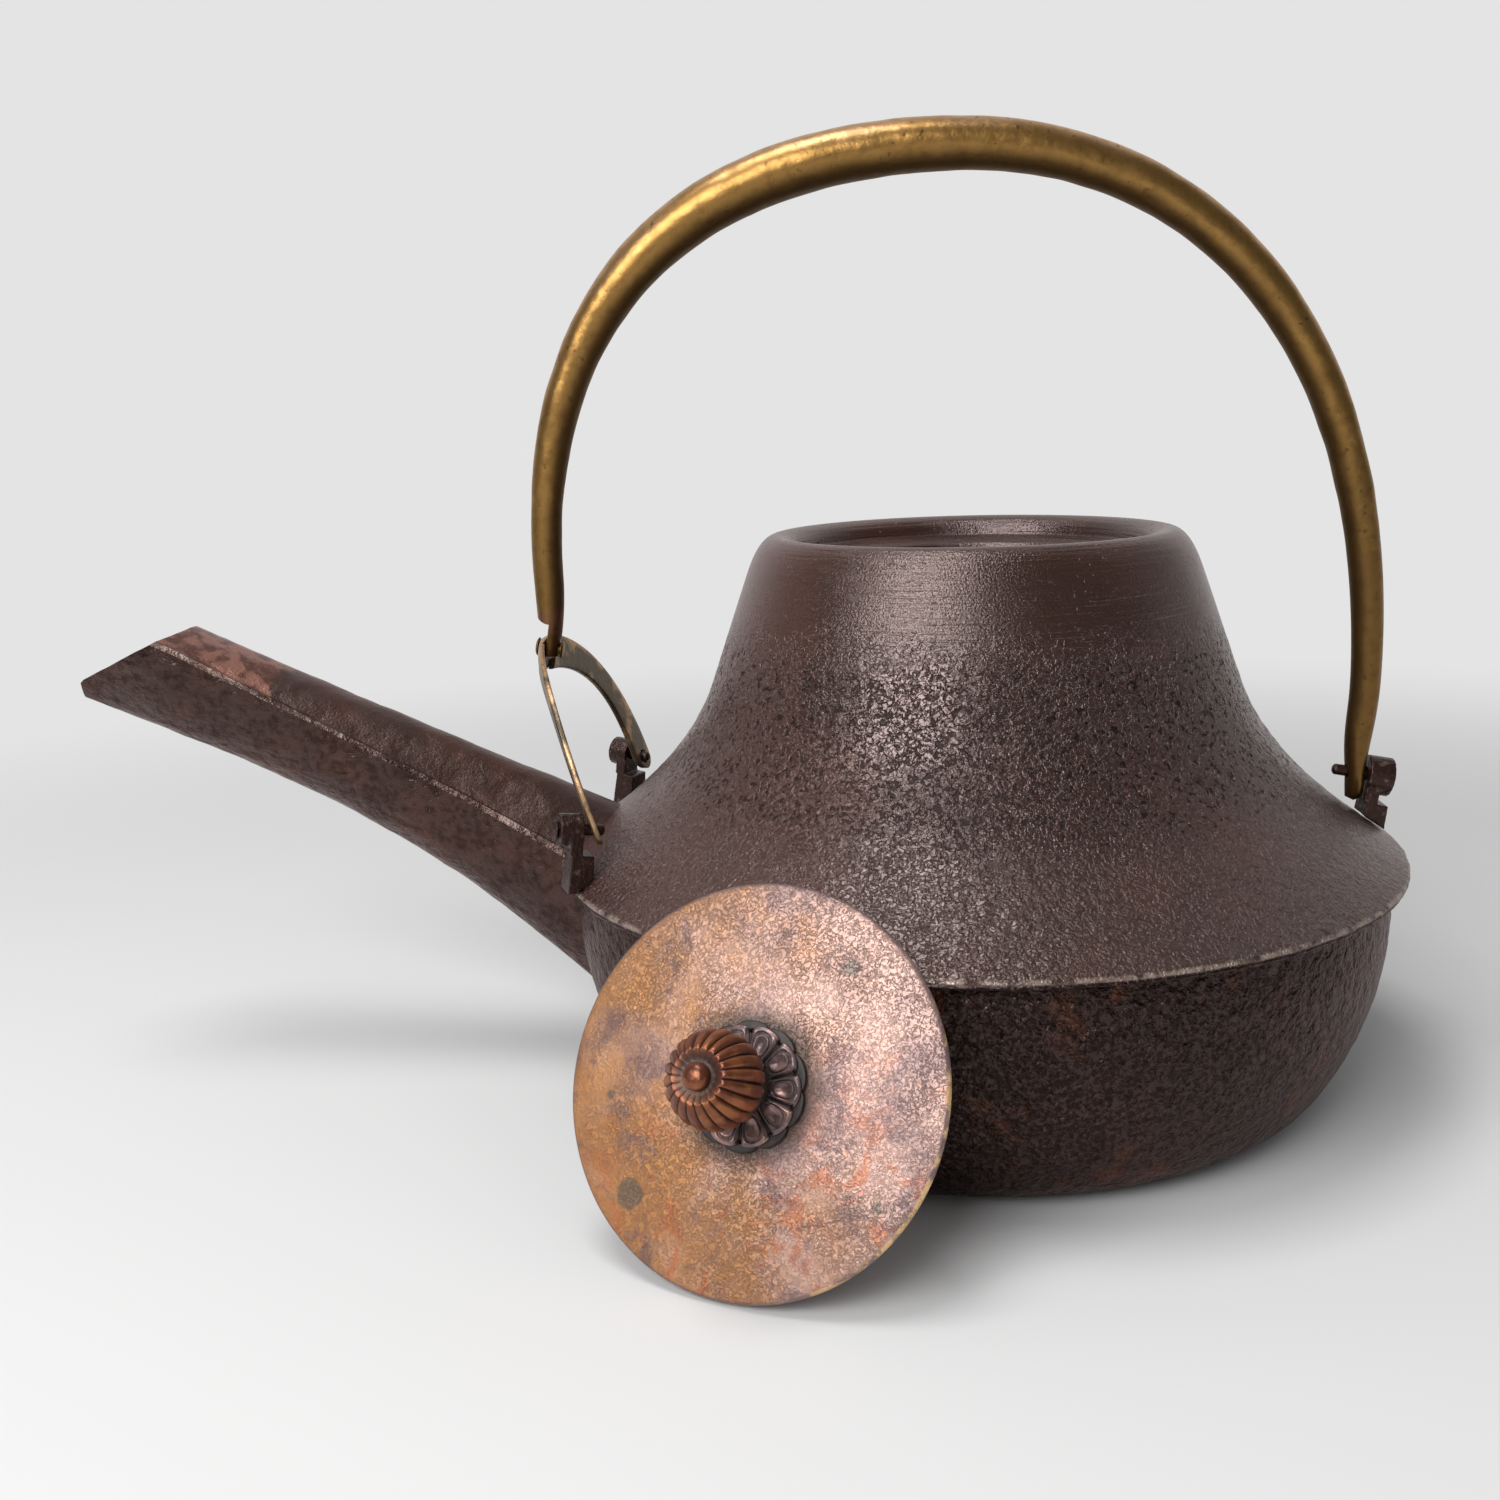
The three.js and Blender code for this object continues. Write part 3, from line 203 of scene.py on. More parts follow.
class KettleColours(bpy.types.PropertyGroup):
    """Colours of the finishes and of the floor."""

    iron: colour("Iron", "Dark iron skin", (0.040, 0.0175, 0.0125))
    red_iron: colour("Red iron", "Redder skin on the neck and low on the shoulder", (0.082, 0.028, 0.018))
    # Painted shade: near black in the body's deepest pits, over its lower wall, inside its mouth and in the spout's
    # hollows.
    painted_shade: colour("Pits", "Black floors of the pits", (0.007, 0.004, 0.003))
    rust: colour("Rust", "Rust on the lower wall", (0.11, 0.032, 0.012))
    # Worn bare iron on the ears, a pale line on the flange's edge, and a painted highlight along the spout's ridges.
    worn_iron_and_highlight: colour("Worn iron", "Bare metal on the flange's edge and the ears", (0.30, 0.23, 0.19))
    tip_copper: colour("Tip copper", "Worn patch on the spout's tip", (0.23, 0.10, 0.072))
    brass: colour("Brass", "Aged brass of the bail", (0.34, 0.188, 0.055))
    # Rubbed brass with a painted highlight on the bail's crest, and rubbed edges on the fork.
    pink_brass_and_highlight: colour("Pink brass", "Rubbed brass on the bail's crest", (0.64, 0.395, 0.215))
    # Tarnish, with painted shade on the bail's inner side and low on its legs.
    dark_brass_and_shade: colour("Dark brass", "Tarnish on the bail's underside", (0.085, 0.045, 0.015))
    fork: colour("Fork brass", "Olive tarnish of the fork", (0.115, 0.088, 0.058))
    bronze: colour("Bronze", "Golden bronze of the lid", (0.44, 0.205, 0.078))
    # Pinkish bronze that also carries painted sheen on the lid's +x side.
    pink_bronze_and_sheen: colour("Pink bronze", "Pinkish bronze of the lid", (0.47, 0.300, 0.250))
    red_bronze: colour("Red bronze", "Orange-red patches of the lid", (0.45, 0.135, 0.050))
    stain: colour("Stain", "Grey-violet stains on the lid", (0.16, 0.105, 0.110))
    verdigris: colour("Verdigris", "Grey-green spots on the lid", (0.11, 0.105, 0.085))
    gold: colour("Gold", "Bright worn edge of the lid", (0.78, 0.50, 0.24))
    knob: colour("Knob copper", "Red-brown copper of the knob", (0.14, 0.042, 0.020))
    orange_knob: colour("Orange copper", "Rubbed orange lobes of the knob", (0.31, 0.105, 0.035))
    # Patina in grooves, dimples and lines and round the flower, and painted shade on the knob's neck and under and
    # between the flower's petals.
    patina_and_shade: colour("Patina", "Grey-black patina in grooves", (0.030, 0.028, 0.026))
    flower: colour("Flower copper", "Violet-grey copper of the flower washer", (0.15, 0.105, 0.105))
    pink_flower: colour("Rubbed flower", "Rubbed ridges of the flower washer", (0.33, 0.20, 0.175))
    floor: colour("Floor", "Pale floor", (0.69, 0.69, 0.69))
    backdrop: colour("Backdrop", "Pale backdrop", (0.775, 0.775, 0.775))


# Curves and profiles

def between(a, b, share):
    return a + (b - a) * share


def smooth(value, low, high):
    share = min(max((value - low) / (high - low), 0), 1)
    return share * share * (3 - 2 * share)


def curve(corners, count):
    """Points on the Bezier curve of three or four corners."""
    made = []
    for i in range(count + 1):
        line = [Vector(corner) for corner in corners]
        while len(line) > 1:
            line = [a.lerp(b, i / count) for a, b in zip(line, line[1:])]
        made.append(line[0])
    return made


def evenly(line, step):
    """A line of points resampled at equal steps, with its corners at the ends kept."""
    travelled = [0]
    for a, b in zip(line, line[1:]):
        travelled.append(travelled[-1] + (b - a).length)
    count = max(round(travelled[-1] / step), 1)
    made, k = [], 0
    for i in range(count + 1):
        goal = travelled[-1] * i / count
        while k < len(line) - 2 and travelled[k + 1] < goal:
            k += 1
        span = travelled[k + 1] - travelled[k]
        made.append(line[k].lerp(line[k + 1], (goal - travelled[k]) / span if span else 0))
    return made


def beside(line, distance):
    """Each point of a line moved to its left by a distance."""
    made = []
    for i, here in enumerate(line):
        along = (line[min(i + 1, len(line) - 1)] - line[max(i - 1, 0)]).normalized()
        made.append(here + Vector((-along.y, along.x)) * distance)
    return made


def read(table, value):
    """The second number of a table of pairs, at a value of the first."""
    for (a, p), (b, q) in zip(table, table[1:]):
        if a <= value <= b:
            return between(p, q, (value - a) / (b - a) if b > a else 0)
    return table[0][1] if value < table[0][0] else table[-1][1]


# Modelling by hand

def start(primitive, name, **settings):
    """Adds a primitive with nothing else selected, and names it."""
    bpy.ops.object.select_all(action="DESELECT")
    primitive(**settings)
    piece = bpy.context.object
    piece.name = piece.data.name = name
    return piece


def editing(piece):
    bpy.context.view_layer.objects.active = piece
    bpy.ops.object.mode_set(mode="EDIT")


def modelled():
    bpy.ops.object.mode_set(mode="OBJECT")


def tidy(merge=1e-6, facing=True):
    """In edit mode: merges doubles, and turns the faces outwards."""
    bpy.ops.mesh.select_all(action="SELECT")
    bpy.ops.mesh.remove_doubles(threshold=merge)
    if facing:
        bpy.ops.mesh.normals_make_consistent(inside=False)


def turned(name, profile, steps):
    """A profile of radius and height, extruded point by point and spun round the Z axis."""
    piece = start(bpy.ops.mesh.primitive_plane_add, name, size=MM)
    editing(piece)
    bpy.ops.mesh.merge(type="CENTER")
    here = Vector((profile[0].x, 0, profile[0].y))
    bpy.ops.transform.translate(value=here)
    for spot in profile[1:]:
        there = Vector((spot.x, 0, spot.y))
        bpy.ops.mesh.extrude_region_move(TRANSFORM_OT_translate={"value": there - here})
        here = there
    bpy.ops.mesh.select_all(action="SELECT")
    bpy.ops.mesh.spin(steps=steps, angle=2 * math.pi, center=(0, 0, 0), axis=(0, 0, 1))
    tidy()
    modelled()
    return piece


def skinned(name, rings, closed=False):
    """A sheet rolled up through rings of points. Closed joins the last ring to the first."""
    rows = rings + rings[:1] if closed else rings
    around = len(rings[0])
    piece = start(
        bpy.ops.mesh.primitive_grid_add, name,
        x_subdivisions=around, y_subdivisions=len(rows) - 1, size=1,
    )
    order = sorted(piece.data.vertices, key=lambda v: (round(v.co.y * 1e4), v.co.x))
    for k, vertex in enumerate(order):
        row, column = divmod(k, around + 1)
        vertex.co = rows[row][column % around]
    editing(piece)
    tidy()
    modelled()
    return piece


def pole(ring):
    """The ring gathered to its centre, which closes an end."""
    centre = sum(ring, Vector()) / len(ring)
    return [centre.copy() for _ in ring]


def apply_modifier(piece, kind, **settings):
    bpy.context.view_layer.objects.active = piece
    modifier = piece.modifiers.new(kind.title(), kind)
    for key, value in settings.items():
        setattr(modifier, key, value)
    bpy.ops.object.modifier_apply(modifier=modifier.name)


def cut(piece, cutter):
    """Takes the cutter's volume out of the piece."""
    apply_modifier(piece, "BOOLEAN", object=cutter, operation="DIFFERENCE", solver="EXACT")
    bpy.data.objects.remove(cutter)


def drill(radius, near, far, place, sides=48):
    """A round cutter along the X axis of a frame, from near to far."""
    cutter = start(
        bpy.ops.mesh.primitive_cylinder_add, "cutter",
        vertices=sides, radius=radius, depth=far - near,
    )
    lie = Matrix.Translation(((near + far) / 2, 0, 0)) @ Matrix.Rotation(math.pi / 2, 4, "Y")
    cutter.data.transform(place @ lie)
    return cutter


def weigh(piece, name, weight):
    """A vertex group whose weights come from a function of each vertex's place."""
    group = piece.vertex_groups.new(name=name)
    for vertex in piece.data.vertices:
        amount = weight(vertex.co)
        if amount > 0:
            group.add([vertex.index], min(amount, 1), "REPLACE")
    return name


def roughen(piece, group, size, height, basis="ORIGINAL_PERLIN", depth=2, middle=0.5, way="NORMAL"):
    """Raises and sinks the surface by a cloudy pattern of a given size."""
    pattern = bpy.data.textures.new("relief", "CLOUDS")
    pattern.noise_scale = size
    pattern.noise_depth = depth
    pattern.noise_basis = basis
    apply_modifier(
        piece, "DISPLACE", texture=pattern, texture_coords="LOCAL", strength=height,
        mid_level=middle, vertex_group=group, direction=way,
    )


def softened(name, node, voxel, rounds):
    """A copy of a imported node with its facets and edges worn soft."""
    bpy.ops.object.select_all(action="DESELECT")
    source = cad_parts[node]
    piece = bpy.data.objects.new(name, source.data.copy())
    piece.data.name = name
    bpy.context.scene.collection.objects.link(piece)
    piece.select_set(True)
    editing(piece)
    tidy(1e-7, facing=False)
    modelled()
    apply_modifier(piece, "REMESH", mode="VOXEL", voxel_size=voxel, use_smooth_shade=True)
    apply_modifier(piece, "SMOOTH", factor=0.5, iterations=rounds)
    return piece


def finished(piece, finish, body, slot, *nodes, angle=35):
    """Smooths the shading, gives the finish, and puts the piece in the place of its nodes."""
    bpy.ops.object.select_all(action="DESELECT")
    piece.select_set(True)
    bpy.context.view_layer.objects.active = piece
    bpy.ops.object.shade_smooth_by_angle(angle=math.radians(angle))
    piece.data.materials.clear()
    piece.data.materials.append(finish)
    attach(piece, body)
    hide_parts(*nodes)


# Shader maths

class Value:
    """An output of a shader node, with operators that add Math or Vector Math nodes."""

    def __init__(self, finish, socket):
        self.finish = finish
        self.socket = socket

    def reckon(self, operation, *terms):
        kind = "Vector Math" if self.socket.type == "VECTOR" else "Math"
        inputs = dict(enumerate(terms))
        return self.finish.node(f"ShaderNode{kind.replace(' ', '')}", {"operation": operation}, inputs)[0]

    def __add__(self, other): return self.reckon("ADD", self, other)
    def __radd__(self, other): return self.reckon("ADD", other, self)
    def __sub__(self, other): return self.reckon("SUBTRACT", self, other)
    def __rsub__(self, other): return self.reckon("SUBTRACT", other, self)
    def __mul__(self, other): return self.reckon("MULTIPLY", self, other)
    def __rmul__(self, other): return self.reckon("MULTIPLY", other, self)
    def __truediv__(self, other): return self.reckon("DIVIDE", self, other)
    def __pow__(self, other): return self.reckon("POWER", self, other)


class Finish:
    """A material, or the world, and the few kinds of node that it is built from."""

    def __init__(self, name, world=None):
        self.material = world or bpy.data.materials.new(name)
        self.material.use_nodes = True
        self.tree = self.material.node_tree
        self.tree.nodes.clear()
        self.place = self.node("ShaderNodeTexCoord")[3]

    def node(self, kind, settings=None, inputs=None):
        """Adds a node, sets it, fills its sockets, and gives its outputs as values."""
        made = self.tree.nodes.new(kind)
        for key, value in (settings or {}).items():
            if key == "stops":
                self.set_stops(made.color_ramp, value)
            else:
                setattr(made, key, value)
        for key, value in (inputs or {}).items():
            socket = made.inputs[key]
            if isinstance(value, Value):
                self.tree.links.new(value.socket, socket)
            elif socket.type == "RGBA":
                socket.default_value = (*value, 1)
            else:
                socket.default_value = value
        return [Value(self, socket) for socket in made.outputs]

    @staticmethod
    def set_stops(ramp, stops):
        while len(ramp.elements) < len(stops):
            ramp.elements.new(1)
        for element, (position, tone) in zip(ramp.elements, stops):
            element.position = position
            element.color = (*tone, 1) if isinstance(tone, tuple) else (tone, tone, tone, 1)

    def axes(self, vector=None):
        return self.node("ShaderNodeSeparateXYZ", None, {0: vector or self.place})

    def vector(self, x, y, z):
        return self.node("ShaderNodeCombineXYZ", None, {0: x, 1: y, 2: z})[0]

    def noise(self, size, detail=2, vector=None, roughness=0.5, distortion=0):
        inputs = {
            "Vector": vector or self.place, "Scale": 1 / size, "Detail": detail,
            "Roughness": roughness, "Distortion": distortion,
        }
        return self.node("ShaderNodeTexNoise", None, inputs)[0]

    def cells(self, size, feature="F1", vector=None, smoothness=1):
        inputs = {"Vector": vector or self.place, "Scale": 1 / size}
        if feature == "SMOOTH_F1":
            inputs["Smoothness"] = smoothness
        return self.node("ShaderNodeTexVoronoi", {"feature": feature}, inputs)[0]

    def ease(self, value, low, high, start=0, end=1):
        """Runs smoothly from start to end as the value goes from low to high."""
        settings = {"interpolation_type": "SMOOTHSTEP"}
        inputs = {"Value": value, 1: low, 2: high, 3: start, 4: end}
        return self.node("ShaderNodeMapRange", settings, inputs)[0]

    def blend(self, share, first, second, mode="MIX"):
        settings = {"data_type": "RGBA", "blend_type": mode, "clamp_factor": True}
        return self.node("ShaderNodeMix", settings, {0: share, 6: first, 7: second})[2]

    def bump(self, height, distance, normal=None, strength=1):
        inputs = {"Height": height, "Distance": distance, "Strength": strength}
        if normal:
            inputs["Normal"] = normal
        return self.node("ShaderNodeBump", None, inputs)[0]

    def metal(self, **sockets):
        """Ends the material in a Principled shader, and gives the material."""
        inputs = {key.replace("_", " ").title().replace("Ior", "IOR"): value for key, value in sockets.items()}
        shader = self.node("ShaderNodeBsdfPrincipled", None, inputs)[0]
        self.node("ShaderNodeOutputMaterial", None, {"Surface": shader})
        return self.material


def distance(x, y):
    """Distance of a place from the origin of two axes."""
    return (x * x + y * y) ** 0.5


# Finishes

def iron_skin(tones):
    """Cast iron: a turned neck, a pitted shoulder, a rough wall and a pale line on the flange's edge, with painted
    shade in the deepest pits, over the wall and inside the mouth.
    """
    iron = Finish("cast_iron")
    x, y, z = iron.axes()
    radius = distance(x, y)
    ragged = iron.noise(6 * MM, 3)
    pitted = iron.ease(z + ragged * (10 * MM), 92 * MM, 84 * MM)
    low = iron.ease(z + ragged * (12 * MM), 66 * MM, 52 * MM)
    wall = iron.ease(z, 41.6 * MM, 41.0 * MM)

    worm = iron.noise(1.15 * MM, 2, roughness=0.5, distortion=0.4)
    pits = iron.ease(worm, 0.45, 0.52)
    fine_pits = iron.ease(iron.noise(0.8 * MM, 2, roughness=0.6, distortion=0.3), 0.40, 0.58)
    leather = iron.noise(2.4 * MM, 3, roughness=0.6)
    grain = iron.noise(0.35 * MM, 2)
    bold = pits * 0.75 + fine_pits * 0.25
    quiet = fine_pits * 0.42 + leather * 1.1 - 0.1
    lumps = iron.noise(2.6 * MM, 3, roughness=0.5, distortion=0.3)
    coarse = lumps * 4.5 + fine_pits * 0.30 + pits * 0.30
    shoulder = bold * (1 - low) + quiet * low
    skin = coarse * wall + shoulder * (1 - wall) + grain * 0.08
    lines = iron.noise(0.5 * MM, 2, iron.vector(x * 0.03, y * 0.03, z))
    specks = iron.ease(iron.noise(1.1 * MM, 2), 0.27, 0.34)
    turned_neck = lines * 0.50 + grain * 0.30 + specks * 0.3 + 0.1
    height = skin * pitted + turned_neck * (1 - pitted)
    normal = iron.bump(height, 0.40 * MM)

    blotch = iron.noise(24 * MM, 3, roughness=0.6)
    left = iron.ease(x, 0 * MM, -40 * MM)
    reddish = iron.ease(blotch + left * 0.20, 0.46, 0.74)
    base = iron.blend(reddish * 0.45, tones.iron, tones.red_iron)
    rusty = iron.ease(iron.noise(11 * MM, 5, roughness=0.7), 0.55, 0.68) * wall
    # Painted shade over the wall under the flange; the raised grain is left lighter as a painted highlight.
    base = iron.blend(wall * (0.75 - fine_pits * 0.35), base, tones.painted_shade)
    base = iron.blend(rusty * 0.5, base, tones.rust)
    # Painted shade: the lowest places of the shoulder's relief are darkened to near black.
    sunk = iron.ease(height, 0.32, 0.02) * pitted * (1 - wall)
    base = iron.blend(sunk * 0.75, base, tones.painted_shade)
    edge = iron.ease(radius, 74.2 * MM, 74.7 * MM) * iron.ease(z, 41.5 * MM, 41.8 * MM)
    edge = edge * iron.ease(iron.noise(3 * MM, 3), 0.38, 0.56)
    base = iron.blend(edge * 0.8, base, tones.worn_iron_and_highlight)
    # Painted shade: the inside of the neck, seen through the mouth, is turned near black.
    neck_side = iron.ease(radius + (z - 72 * MM) * 0.355, 44.6 * MM, 43.4 * MM)
    hollow = neck_side * iron.ease(z, 93.2 * MM, 92.4 * MM) * iron.ease(z, 62 * MM, 68 * MM)
    base = iron.blend(hollow, base, tones.painted_shade)
    rough = 0.22 + ragged * 0.09 + low * 0.05 + wall * 0.02 + sunk * 0.3 + hollow * 0.4
    dull = wall * (0.85 - fine_pits * 0.25) + sunk * 0.7
    return iron.metal(
        base_color=base, roughness=rough, metallic=iron.ease(dull, 0, 1, 0.30, 0.95),
        specular_ior_level=1, specular_tint=(1, 0.86, 0.84), ior=1.62, normal=normal,
    )


def spout_skin(tones):
    """Smoother iron on the spout, glossier on its sides and coppery at its tip, with a painted highlight along its
    ridges and painted shade in the hollows of its sides.
    """
    iron = Finish("spout_iron")
    x, y, z = iron.axes()
    above = iron.node("ShaderNodeAttribute", {"attribute_name": "above"})[2]
    ragged = iron.noise(7 * MM, 3)
    blotch = iron.noise(12 * MM, 4, roughness=0.6)
    base = iron.blend(iron.ease(blotch, 0.44, 0.70) * 0.6, tones.iron, tones.red_iron)
    tip = iron.ease(x + ragged * (11 * MM), -120 * MM, -121.2 * MM)
    tip = tip * iron.ease(above + (ragged - 0.5) * 1.4, 0.35, 0.65)
    copper = iron.blend(iron.ease(iron.noise(3 * MM, 4), 0.46, 0.62), tones.tip_copper, tones.red_iron)
    base = iron.blend(tip * 0.95, base, copper)
    crinkle = iron.noise(1.6 * MM, 3, roughness=0.6)
    leather = iron.noise(5 * MM, 3)
    specks = iron.ease(iron.noise(1.1 * MM, 2), 0.27, 0.34)
    # Painted highlight: a lighter line along the ridges between the arched top and the sides.
    ridge = above * (1 - above) * 4
    base = iron.blend(ridge * iron.ease(leather, 0.46, 0.58) * 0.35, base, tones.worn_iron_and_highlight)
    streaks = iron.noise(4 * MM, 3, iron.vector(x * 0.4, y, z))
    # Painted shade in the low places of the sides' relief.
    sunk = iron.ease(crinkle + streaks * 0.5, 0.85, 0.55) * (1 - above)
    base = iron.blend(sunk * 0.45, base, tones.painted_shade)
    side = streaks * 3.2 + crinkle * 1.0 + specks * 0.3
    height = leather * 1.2 + side * (1 - above) + crinkle * above * 0.2
    height = height + iron.noise(0.4 * MM, 2) * 0.12
    normal = iron.bump(height, 0.40 * MM)
    rough = ragged * 0.12 + 0.20 + above * 0.14
    return iron.metal(
        base_color=base, roughness=rough, metallic=0.50 + sunk * 0.25, specular_ior_level=0.7,
        specular_tint=(1, 0.86, 0.84), ior=1.55, normal=normal,
    )


def ear_skin(tones, name):
    """Dark iron of the ears and pins, rubbed bright in patches."""
    iron = Finish(name)
    worn = iron.ease(iron.noise(1.6 * MM, 3, roughness=0.6), 0.56, 0.70)
    base = iron.blend(worn * 0.35, tones.iron, tones.worn_iron_and_highlight)
    normal = iron.bump(iron.noise(0.9 * MM, 3) + iron.noise(0.3 * MM, 2) * 0.3, 0.25 * MM)
    rough = iron.noise(2 * MM, 2) * 0.2 + 0.24
    return iron.metal(
        base_color=base, roughness=rough, metallic=0.6, specular_ior_level=0.6, normal=normal
    )


def bail_metal(tones):
    """Aged brass, rubbed pinkish and given a painted highlight on its crest, tarnished and given painted shade on its
    inner side and low on its legs.
    """
    brass = Finish("bail_brass")
    x, y, z = brass.axes()
    side = brass.node("ShaderNodeAttribute", {"attribute_name": "outer_side"})[2]
    cloud = brass.noise(14 * MM, 4, roughness=0.62)
    fine = brass.noise(2.2 * MM, 3, roughness=0.65)
    hammered = brass.noise(5 * MM, 2)
    # Rubbed brass and a painted highlight on the crest's outer side.
    rubbed = brass.ease(side + (cloud - 0.5) * 1.2, 0.30, 1.0) * brass.ease(z, 100 * MM, 150 * MM)
    base = brass.blend(rubbed * 0.6, tones.brass, tones.pink_brass_and_highlight)
    # Tarnish with painted shade, growing lower down the legs.
    legs = brass.ease(z + (cloud - 0.5) * (40 * MM), 125 * MM, 82 * MM)
    base = brass.blend(legs * 0.55, base, tones.dark_brass_and_shade)
    # Tarnish with painted shade on the inner side.
    under = brass.ease(side + (cloud - 0.5) * 0.5, -0.05, -0.65)
    base = brass.blend(under * 0.85, base, tones.dark_brass_and_shade)
    pink_end = brass.ease(z, 87 * MM, 84.5 * MM) * brass.ease(z, 81 * MM, 82.5 * MM) * brass.ease(x, 0, -1 * MM)
    base = brass.blend(pink_end * 0.5, base, tones.tip_copper)
    spots = brass.ease(brass.noise(1.3 * MM, 2), 0.65, 0.72)
    base = brass.blend(spots * 0.6, base, tones.dark_brass_and_shade)
    base = brass.blend(brass.ease(fine, 0.44, 0.72) * 0.35, base, tones.dark_brass_and_shade)
    height = hammered * 0.8 + fine * 0.25 + brass.noise(0.4 * MM, 2) * 0.05
    normal = brass.bump(height, 0.30 * MM)
    rough = 0.27 + fine * 0.16 + under * 0.15 + legs * 0.05
    return brass.metal(base_color=base, roughness=rough, metallic=0.92, normal=normal)


def fork_metal(tones):
    """Olive-brown tarnished brass with rubbed edges."""
    brass = Finish("fork_brass")
    rim = brass.node("ShaderNodeAttribute", {"attribute_name": "rim"})[2]
    cloud = brass.noise(6 * MM, 4, roughness=0.6)
    rubbed = brass.ease(cloud + rim * 0.16, 0.55, 0.70)
    base = brass.blend(rubbed * 0.65, tones.fork, tones.pink_brass_and_highlight)
    base = brass.blend(brass.ease(brass.noise(1.5 * MM, 3), 0.56, 0.68) * 0.5, base, tones.dark_brass_and_shade)
    normal = brass.bump(cloud + brass.noise(0.8 * MM, 3) * 0.25, 0.2 * MM)
    return brass.metal(
        base_color=base, roughness=0.28 + cloud * 0.22, metallic=0.85, normal=normal
    )


def lid_place(s):
    """The lid's frame: its edge on the floor, its underside on the flange, Z out of its knob."""
    flange = bpy.context.scene.kettle_body
    centre_height = s.radius * math.cos(s.lean) + s.gap
    along, stand = 0, 0
    for _ in range(6):
        stand = s.dome * (1 - (math.hypot(along, s.side_shift) / s.radius) ** 2) - s.gap
        rise = flange.flange_height - centre_height - stand * math.sin(s.lean)
        along = rise / math.cos(s.lean)
    reach = flange.flange_radius + along * math.sin(s.lean) - stand * math.cos(s.lean)
    outward = Vector((math.cos(s.azimuth), math.sin(s.azimuth), 0))
    sideways = Vector((-math.sin(s.azimuth), math.cos(s.azimuth), 0))
    facing = outward * math.cos(s.lean) + UP * math.sin(s.lean)
    place = outward * reach + sideways * s.side_shift + UP * centre_height
    return Matrix.Translation(place) @ UP.rotation_difference(facing).to_matrix().to_4x4()


def lid_local(finish, sizes):
    """Places measured in the lid's own frame."""
    place = lid_place(sizes)
    settings = {"vector_type": "TEXTURE"}
    inputs = {
        "Vector": finish.place, "Location": place.to_translation(), "Rotation": place.to_euler(),
        "Scale": (1, 1, 1),
    }
    return finish.node("ShaderNodeMapping", settings, inputs)[0]


def lid_metal(tones, sizes):
    """Mottled bronze, golden to one side and pinkish with painted sheen to the other, stained round the flower."""
    bronze = Finish("lid_bronze")
    local = lid_local(bronze, sizes)
    x, y, z = bronze.axes(local)
    radius = distance(x, y)
    cloud = bronze.noise(12 * MM, 5, local, 0.62, 0.5)
    patch = bronze.noise(6 * MM, 5, local, 0.68, 0.6)
    # Pink tone mixed with painted sheen, growing towards +x.
    share = bronze.ease(x / (30 * MM) * 0.5 + cloud * 1.6, 0.35, 1.15)
    base = bronze.blend(share, tones.bronze, tones.pink_bronze_and_sheen)
    warm = bronze.ease(patch, 0.53, 0.60) * bronze.ease(y + cloud * (20 * MM), 20 * MM, -4 * MM)
    base = bronze.blend(warm * 0.6, base, tones.red_bronze)
    stained = bronze.ease(bronze.noise(8 * MM, 6, local, 0.72, 0.4), 0.52, 0.64)
    base = bronze.blend(stained * 0.6, base, tones.stain)
    violet = bronze.ease(bronze.noise(17 * MM, 4, local, 0.6, 0), 0.50, 0.66)
    base = bronze.blend(violet * 0.45, base, tones.stain)
    for spot_x, spot_y, size in ((18.5, 12.5, 1.2), (-22, 4, 0.9), (-21.5, -10.5, 2.2), (15, -20, 0.8)):
        away = distance(x - spot_x * MM, y - spot_y * MM)
        spot = bronze.ease(away + patch * (2 * MM), (size + 1.2) * MM, (size + 0.6) * MM)
        base = bronze.blend(spot * 0.7, base, tones.verdigris)
    halo = bronze.ease(radius + cloud * (5 * MM), 16 * MM, 11.2 * MM)
    base = bronze.blend(halo * 0.8, base, tones.patina_and_shade)
    worm = bronze.noise(0.85 * MM, 4, local, 0.75, 0)
    skin = bronze.ease(worm, 0.45, 0.54)
    rubbed = bronze.ease(bronze.noise(13 * MM, 3, local, 0.55, 0), 0.44, 0.60)
    etched = 1 - rubbed * 0.65
    base = bronze.blend((1 - skin) * etched * 0.20, base, tones.stain)
    specks = bronze.ease(bronze.noise(0.8 * MM, 2, local), 0.64, 0.72)
    base = bronze.blend(specks * 0.45, base, tones.stain)
    rim = bronze.ease(radius, 28.7 * MM, 29.0 * MM)
    base = bronze.blend(rim * 0.6, base, tones.stain)
    bright = rim * bronze.ease(patch, 0.46, 0.56) * bronze.ease(x - y * 0.7, 14 * MM, 30 * MM)
    base = bronze.blend(bright * 0.9, base, tones.gold)
    grain = bronze.noise(0.4 * MM, 2, local)
    height = skin * etched * 0.7 + grain * 0.35 + patch * 0.5
    normal = bronze.bump(height, 0.15 * MM)
    rough = 0.30 + worm * 0.16 + halo * 0.1
    return bronze.metal(base_color=base, roughness=rough, metallic=0.5, normal=normal)


